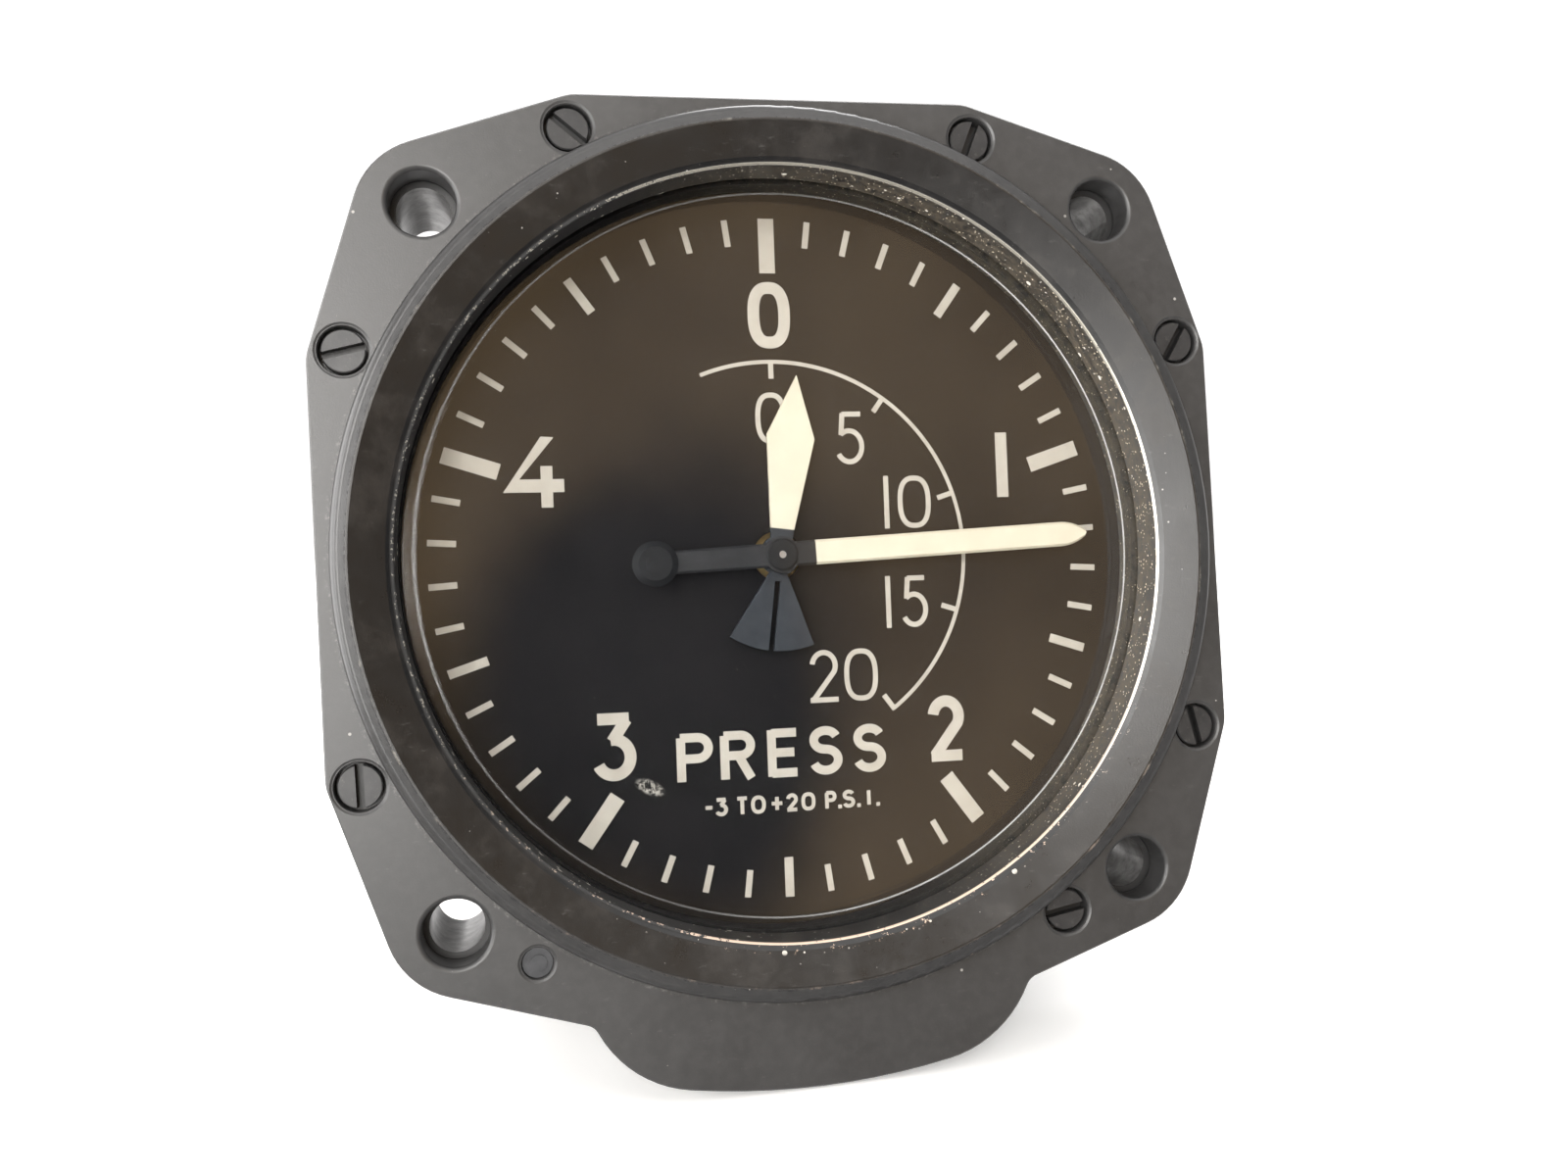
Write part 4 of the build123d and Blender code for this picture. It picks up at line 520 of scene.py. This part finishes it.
# ---------------------------------------------------------------------------
# dial markings: thin raised paint, one closed strip for each stroke
# ---------------------------------------------------------------------------
def arc(cx, cz, rx, rz, a0, a1, n=None):
    n = n or max(4, int(abs(a1 - a0) / 7.5))
    return [(cx + rx * math.cos(math.radians(a0 + (a1 - a0) * i / n)), cz + rz * math.sin(math.radians(a0 + (a1 - a0) * i / n))) for i in range(n + 1)]


def oval(p=0.78, n=56):
    pts = []
    for i in range(n):
        a = 2 * math.pi * i / n
        c, s = math.cos(a), math.sin(a)
        pts.append((0.5 + 0.5 * math.copysign(abs(c) ** p, c), 0.5 + 0.5 * math.copysign(abs(s) ** p, s)))
    return pts + [pts[0]]


GLYPH = {
    "0": [oval()],
    "O": [oval(0.85)],
    "1": [[(0.5, 0.0), (0.5, 1.0)]],
    "I": [[(0.5, 0.0), (0.5, 1.0)]],
    "2": [arc(0.48, 0.72, 0.47, 0.28, 172, -28) + [(0.02, 0.0)], [(-0.10, 0.0), (1.04, 0.0)]],
    "3": [[(-0.04, 1.0), (0.98, 1.0)], [(0.90, 0.98), (0.42, 0.60)], arc(0.46, 0.315, 0.54, 0.315, 100, -155)],
    "4": [[(0.66, 1.06), (0.04, 0.27)], [(-0.02, 0.27), (1.06, 0.27)], [(0.76, 0.54), (0.76, -0.08)]],
    "5": [[(0.98, 1.0), (0.14, 1.0)], [(0.16, 1.02), (0.08, 0.56)], arc(0.44, 0.325, 0.56, 0.325, 132, -150)],
    "P": [[(0.0, -0.08), (0.0, 1.0)], [(-0.02, 1.0), (0.58, 1.0)] + arc(0.60, 0.74, 0.40, 0.26, 84, -84) + [(0.58, 0.48), (0.0, 0.48)]],
    "R": [[(0.0, -0.08), (0.0, 1.0)], [(-0.02, 1.0), (0.56, 1.0)] + arc(0.58, 0.75, 0.38, 0.25, 84, -84) + [(0.56, 0.50), (0.0, 0.50)],
          [(0.50, 0.50), (0.96, -0.08)]],
    "E": [[(0.0, -0.08), (0.0, 1.08)], [(0.0, 1.0), (1.04, 1.0)], [(0.0, 0.51), (0.94, 0.51)], [(0.0, 0.0), (1.04, 0.0)]],
    "S": [arc(0.50, 0.765, 0.47, 0.235, 22, 262) + arc(0.50, 0.265, 0.50, 0.265, 82, -160)],
    "T": [[(-0.05, 1.0), (1.05, 1.0)], [(0.5, 1.0), (0.5, -0.08)]],
    "+": [[(-0.05, 0.5), (1.05, 0.5)], [(0.5, 0.05), (0.5, 0.95)]],
    "-": [[(-0.05, 0.5), (1.05, 0.5)]],
}


class Marks:
    def __init__(self, y_front, y_back):
        self.v, self.f = [], []
        self.count = 0
        self.y0, self.y1 = y_front, y_back

    def stroke(self, pts, w):
        closed = math.dist(pts[0], pts[-1]) < 1e-6
        if closed:
            pts = pts[:-1]
        n = len(pts)
        left, right = [], []
        for i in range(n):
            a = pts[i - 1] if (i > 0 or closed) else None
            b = pts[i]
            c = pts[(i + 1) % n] if (i < n - 1 or closed) else None
            dirs = []
            for p, q in ((a, b), (b, c)):
                if p is not None and q is not None:
                    d = math.dist(p, q)
                    dirs.append(((q[0] - p[0]) / d, (q[1] - p[1]) / d))
            tx = sum(d[0] for d in dirs)
            tz = sum(d[1] for d in dirs)
            ln = math.hypot(tx, tz)
            tx, tz = tx / ln, tz / ln
            k = max(0.55, tx * dirs[0][0] + tz * dirs[0][1])
            h = w / 2 / k
            left.append((b[0] - tz * h, b[1] + tx * h))
            right.append((b[0] + tz * h, b[1] - tx * h))
        base = len(self.v)
        # strokes of one figure lie a hair above each other, like paint over paint
        self.count += 1
        y0 = self.y0 - 0.002 * (self.count % 6)
        for i in range(n):
            for px, pz in (left[i], right[i]):
                x = px * math.cos(ROLL) + pz * math.sin(ROLL)
                z = -px * math.sin(ROLL) + pz * math.cos(ROLL)
                self.v.append((x * MM, y0 * MM, z * MM))
                self.v.append((x * MM, self.y1 * MM, z * MM))
        # per point: 0 left front, 1 left back, 2 right front, 3 right back
        m = n if closed else n - 1
        for i in range(m):
            a, b = base + 4 * i, base + 4 * ((i + 1) % n)
            self.f.append((a, b, b + 2, a + 2))
            self.f.append((a + 1, a + 3, b + 3, b + 1))
            self.f.append((a, a + 1, b + 1, b))
            self.f.append((a + 2, b + 2, b + 3, a + 3))
        if not closed:
            a, b = base, base + 4 * (n - 1)
            self.f.append((a, a + 2, a + 3, a + 1))
            self.f.append((b, b + 1, b + 3, b + 2))

    def poly(self, pts):
        """One flat filled shape with straight sides; its corners run clockwise or anticlockwise."""
        base = len(self.v)
        self.count += 1
        y0 = self.y0 - 0.002 * (self.count % 6)
        n = len(pts)
        for px, pz in pts:
            x = px * math.cos(ROLL) + pz * math.sin(ROLL)
            z = -px * math.sin(ROLL) + pz * math.cos(ROLL)
            self.v.append((x * MM, y0 * MM, z * MM))
            self.v.append((x * MM, self.y1 * MM, z * MM))
        area2 = sum(pts[i][0] * pts[(i + 1) % n][1] - pts[(i + 1) % n][0] * pts[i][1] for i in range(n))
        order = list(range(n)) if area2 > 0 else list(range(n))[::-1]
        self.f.append(tuple(base + 2 * i for i in order))
        self.f.append(tuple(base + 2 * i + 1 for i in reversed(order)))
        for a, b in zip(order, order[1:] + order[:1]):
            self.f.append((base + 2 * a, base + 2 * a + 1, base + 2 * b + 1, base + 2 * b))

    def tick(self, deg, r0, r1, w):
        a = math.radians(deg)
        self.stroke([(r0 * math.sin(a), r0 * math.cos(a)), (r1 * math.sin(a), r1 * math.cos(a))], w)

    def glyph(self, ch, x0, x1, z0, z1, w):
        if ch == ".":
            self.stroke([(x0, z0 + w * 0.5), (x0 + w, z0 + w * 0.5)], w)
            return
        sx, sz = x1 - x0 - w, z1 - z0 - w
        for path in GLYPH[ch]:
            self.stroke([(x0 + w / 2 + u * sx, z0 + w / 2 + v * sz) for u, v in path], w)

    def build(self, name):
        me = bpy.data.meshes.new(name)
        me.from_pydata(self.v, [], self.f)
        me.update()
        o = bpy.data.objects.new(name, me)
        bpy.context.scene.collection.objects.link(o)
        return o


dial_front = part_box("dial")[0][1] / MM
marks = Marks(dial_front - 0.03, dial_front + 0.005)
for k in range(50):
    deg = 7.2 * k
    if k % 10 == 0:
        marks.tick(deg, 27.55, 32.9, 1.55)
    elif k % 10 == 5:
        marks.tick(deg, 29.1, 32.9, 0.86)
    else:
        marks.tick(deg, 30.3, 32.9, 0.60)
marks.glyph("0", -2.1, 2.1, 20.2, 26.7, 1.15)
marks.stroke([(23.3, 5.3), (23.3, 11.8)], 1.2)
marks.glyph("2", 14.5, 18.4, -20.8, -14.3, 1.10)
marks.glyph("3", -18.3, -14.3, -20.8, -14.4, 1.10)
# the four: a slanted stroke that ends in the corner of the bar, the bar and the short upright
marks.poly([(-25.85, 6.55), (-22.25, 11.80), (-21.05, 11.72), (-24.35, 7.76)])
marks.poly([(-25.85, 6.55), (-20.18, 6.55), (-20.20, 7.78), (-25.00, 7.78)])
marks.poly([(-22.35, 5.12), (-21.25, 5.12), (-21.25, 9.02), (-22.35, 9.02)])
# inner scale
marks.stroke([(18.9 * math.sin(math.radians(a)), 18.9 * math.cos(math.radians(a))) for a in [-21.6 + 165.6 * i / 80 for i in range(81)]], 0.38)
for deg in (0, 36, 72, 108, 144):
    marks.tick(deg, 17.25, 19.05, 0.5)
marks.glyph("0", -1.7, 1.4, 10.9, 15.9, 0.5)
marks.glyph("5", 6.35, 9.1, 8.8, 14.0, 0.5)
marks.stroke([(11.15, 2.4), (11.15, 7.6)], 0.5)
marks.glyph("0", 12.3, 15.7, 2.4, 7.6, 0.5)
marks.stroke([(10.95, -7.4), (10.95, -2.3)], 0.5)
marks.glyph("5", 12.4, 15.0, -7.4, -2.3, 0.5)
marks.glyph("2", 2.75, 5.7, -14.4, -9.3, 0.5)
marks.glyph("0", 6.2, 9.6, -14.4, -9.3, 0.5)
for ch, a, b in (("P", -10.5, -7.0), ("R", -6.3, -2.8), ("E", -1.7, 1.5), ("S", 2.4, 5.7), ("S", 6.8, 10.1)):
    marks.glyph(ch, a, b, -21.4, -16.7, 0.85)
for ch, a, b in (("-", -8.05, -7.1), ("3", -6.95, -5.75), ("T", -4.95, -3.75), ("O", -3.5, -2.05), ("+", -1.6, -0.3), ("2", -0.05, 1.15),
                 ("0", 1.45, 2.85), ("P", 3.8, 4.95), (".", 5.1, 5.1), ("S", 5.55, 6.8), (".", 7.0, 7.0), ("I", 7.9, 8.5), (".", 8.95, 8.95)):
    marks.glyph(ch, a, b, -24.75, -23.0, 0.36)
dial_marks = marks.build("dial_markings")
dial_marks.data.materials.append(M["marks"])
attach(dial_marks, "housing")


# ---------------------------------------------------------------------------
# pressure union with its screw thread
# ---------------------------------------------------------------------------
def union_mesh():
    verts, faces = [], []
    cz = -24.0
    n = 96

    def ring(radius_fn, y):
        start = len(verts)
        for i in range(n):
            a = 2 * math.pi * i / n
            r = radius_fn(a)
            verts.append((r * math.cos(a) * MM, y * MM, (cz + r * math.sin(a)) * MM))
        return start

    def join(a, b):
        for i in range(n):
            j = (i + 1) % n
            faces.append((a + i, a + j, b + j, b + i))

    def hexr(apothem, cap):
        def f(a):
            k = (a - math.radians(30) + math.pi / 6) % (math.pi / 3) - math.pi / 6
            return min(apothem / math.cos(k), cap)
        return f

    rings = [ring(lambda a: 1.55, 79.2), ring(lambda a: 4.9, 79.2), ring(lambda a: 5.15, 79.45)]
    for y, cap in ((89.2, 5.15),):
        rings.append(ring(lambda a: 5.15, y))
    rings.append(ring(hexr(9.5, 9.6), 89.2))
    rings.append(ring(hexr(9.5, 10.96), 89.9))
    rings.append(ring(hexr(9.5, 10.96), 93.3))
    rings.append(ring(hexr(9.5, 9.6), 94.0))
    rings.append(ring(lambda a: 6.9, 94.0))
    rings.append(ring(lambda a: 5.95, 94.4))
    pitch, y0, y1 = 1.27, 95.0, 104.2
    steps = 110
    for k in range(steps + 1):
        y = y0 + (y1 - y0) * k / steps
        fade = min(1.0, (y - y0) / 1.2, (105.2 - y) / 1.2)

        def thread(a, y=y, fade=fade):
            ph = ((y / pitch) - a / (2 * math.pi)) % 1.0
            tri = 1.0 - abs(2 * ph - 1.0)
            tri = min(1.0, max(0.0, (tri - 0.10) / 0.78))
            return 5.92 + 0.66 * tri * fade
        rings.append(ring(thread, y))
    rings.append(ring(lambda a: 5.85, 104.6))
    rings.append(ring(lambda a: 5.4, 105.0))
    rings.append(ring(lambda a: 2.85, 105.0))
    rings.append(ring(lambda a: 2.5, 104.7))
    rings.append(ring(lambda a: 2.5, 83.0))
    rings.append(ring(lambda a: 1.55, 83.0))
    for a, b in zip(rings, rings[1:]):
        join(a, b)
    join(rings[-1], rings[0])
    me = bpy.data.meshes.new("pressure_union_threaded")
    me.from_pydata(verts, [], faces)
    me.update()
    o = bpy.data.objects.new("pressure_union_threaded", me)
    bpy.context.scene.collection.objects.link(o)
    import bmesh
    bm = bmesh.new()
    bm.from_mesh(me)
    bmesh.ops.recalc_face_normals(bm, faces=bm.faces)
    bm.to_mesh(me)
    bm.free()
    return o


union = union_mesh()
union.data.materials.append(M["plated"])
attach(union, "housing")
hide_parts("pressure_union")

# ---------------------------------------------------------------------------
# the capsule stack: a copy of its mesh, with the transform baked in, stands in for the part
# ---------------------------------------------------------------------------
stack_node = NODES["capsule_stack"]
stack = bpy.data.objects.new("capsule_stack_flexing", stack_node.data.copy())
bpy.context.scene.collection.objects.link(stack)
stack.matrix_world = stack_node.matrix_world.copy()
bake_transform(stack)
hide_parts("capsule_stack")

# ---------------------------------------------------------------------------
# lights, floor, camera
# ---------------------------------------------------------------------------
scene = bpy.context.scene
scene.view_settings.view_transform = "Standard"
FRONT, BACK = 0.14, 1.20


def stage_plane(name, centre, size, rot, mat):
    me = bpy.data.meshes.new(name)
    h = size[0] / 2
    v = size[1] / 2
    me.from_pydata([(-h, -v, 0), (h, -v, 0), (h, v, 0), (-h, v, 0)], [], [(0, 1, 2, 3)])
    me.update()
    o = bpy.data.objects.new(name, me)
    scene.collection.objects.link(o)
    o.matrix_world = Matrix.Translation(Vector(centre)) @ rot.to_4x4()
    o.data.materials.append(mat)
    return o


def mat_floor():
    t = Tree("pale_floor")
    t.colour(t.ramp(t.noise(0.05, 4.0, 0.6), [(0.3, (0.86, 0.85, 0.83)), (0.7, (0.90, 0.89, 0.88))]))
    t.rough(0.9)
    t.p.inputs["Emission Color"].default_value = (1.0, 0.995, 0.985, 1.0)
    t.p.inputs["Emission Strength"].default_value = 0.28
    return t.mat


# the floor meets the lobe and the lower back edge of the case
slope = math.atan2(48.25 - 39.7, 84.8 - 1.5)
floor_rot = Matrix.Rotation(slope, 3, "X")
floor = stage_plane("floor", (0.0, 0.042, (-48.25 + 40.5 * math.tan(slope)) * MM), (3.0, 3.0), floor_rot, mat_floor())
floor.visible_glossy = False
floor.visible_transmission = False

world = bpy.data.worlds.new("studio")
scene.world = world
world.use_nodes = True
wn = world.node_tree
wn.nodes.clear()
w_out = wn.nodes.new("ShaderNodeOutputWorld")
w_bg = wn.nodes.new("ShaderNodeBackground")
w_bg.inputs[0].default_value = (1.0, 0.982, 0.976, 1.0)
w_tc = wn.nodes.new("ShaderNodeTexCoord")
w_sep = wn.nodes.new("ShaderNodeSeparateXYZ")
wn.links.new(w_tc.outputs["Generated"], w_sep.inputs[0])


def w_step(sock, lo, hi, a, b):
    n = wn.nodes.new("ShaderNodeMapRange")
    n.interpolation_type = "SMOOTHSTEP"
    wn.links.new(sock, n.inputs[0])
    n.inputs[1].default_value, n.inputs[2].default_value = lo, hi
    n.inputs[3].default_value, n.inputs[4].default_value = a, b
    return n.outputs[0]


# white studio behind and above the object, dim room in front of it
w_max = wn.nodes.new("ShaderNodeMath")
w_max.operation = "MAXIMUM"
wn.links.new(w_step(w_sep.outputs[1], -0.05, 0.30, FRONT, BACK), w_max.inputs[0])
wn.links.new(w_step(w_sep.outputs[2], 0.55, 0.85, FRONT, BACK), w_max.inputs[1])
wn.links.new(w_max.outputs[0], w_bg.inputs[1])
wn.links.new(w_bg.outputs[0], w_out.inputs[0])


def area(name, place, target, size, power, colour=(1, 1, 1)):
    l = bpy.data.lights.new(name, "AREA")
    l.shape = "RECTANGLE"
    l.size, l.size_y = size
    l.energy = power
    l.color = colour
    o = bpy.data.objects.new(name, l)
    scene.collection.objects.link(o)
    o.location = place
    d = Vector(target) - Vector(place)
    o.rotation_euler = d.to_track_quat("-Z", "Y").to_euler()
    return o


area("window_left", (-0.19, -0.42, 0.06), (-0.19, 0.50, 0.06), (0.24, 0.30), 2.6, (1.0, 0.985, 0.96))
area("left_strip", (-0.52, -0.30, 0.06), (0.0, 0.0, 0.0), (0.12, 0.40), 1.75, (1.0, 0.985, 0.98))
area("side_left", (-0.70, 0.02, 0.12), (0.0, 0.02, 0.0), (0.5, 0.7), 5.5, (1.0, 0.99, 0.98))
area("top_front", (0.12, -0.50, 0.44), (0, 0, 0), (0.6, 0.28), 0.75, (1.0, 0.98, 0.95))
area("back_top", (0.1, 0.6, 0.6), (0, 0.2, 0), (0.9, 0.6), 10.0)


# what the window glass mirrors: a warm dim room with something dark in the middle of it
def mat_card():
    t = Tree("reflection_card")
    x, y, z = t.xyz()
    e = t.nt.nodes.new("ShaderNodeEmission")
    dx = t.math("DIVIDE", t.math("ADD", x, CARD_X - 38.0), 92.0)
    dy = t.math("DIVIDE", t.math("ADD", y, CARD_Z + 36.0), 115.0)
    d = t.math("SQRT", t.math("ADD", t.math("MULTIPLY", dx, dx), t.math("MULTIPLY", dy, dy)))
    d = t.math("ADD", d, t.math("MULTIPLY", t.math("SUBTRACT", t.noise(0.008, 3.0, 0.5), 0.5), 0.7))
    room = t.ramp(t.noise(0.006, 3.0, 0.5, w=40.0), [(0.3, (0.42, 0.28, 0.155)), (0.7, (0.98, 0.69, 0.40))])
    t.link(t.mix(t.step(d, 0.62, 1.25), (0.03, 0.03, 0.035), room), e.inputs[0])
    e.inputs[1].default_value = 1.0
    t.link(e.outputs[0], t.out.inputs[0])
    return t.mat


CARD_X, CARD_Z = 100.0, 20.0
card = stage_plane("reflection_card", (CARD_X * MM, -0.45, CARD_Z * MM), (0.36, 0.38), Matrix.Rotation(math.radians(90), 3, "X"), mat_card())
card.visible_camera = False
card.visible_diffuse = False
card.visible_shadow = False

cam_data = bpy.data.cameras.new("camera")
cam = bpy.data.objects.new("camera", cam_data)
scene.collection.objects.link(cam)
cam_data.sensor_width = 36.0
cam_data.lens = 1348.27 * 36.0 / 1600.0
cam_data.clip_start = 0.005
cam_data.clip_end = 50.0
cam.matrix_world = Matrix((
    (0.978402, 0.047439, -0.201194, -0.02531254),
    (-0.199969, -0.029336, -0.979363, -0.11680863),
    (-0.052362, 0.998443, -0.019216, -0.00560850),
    (0.0, 0.0, 0.0, 1.0)))
scene.camera = cam
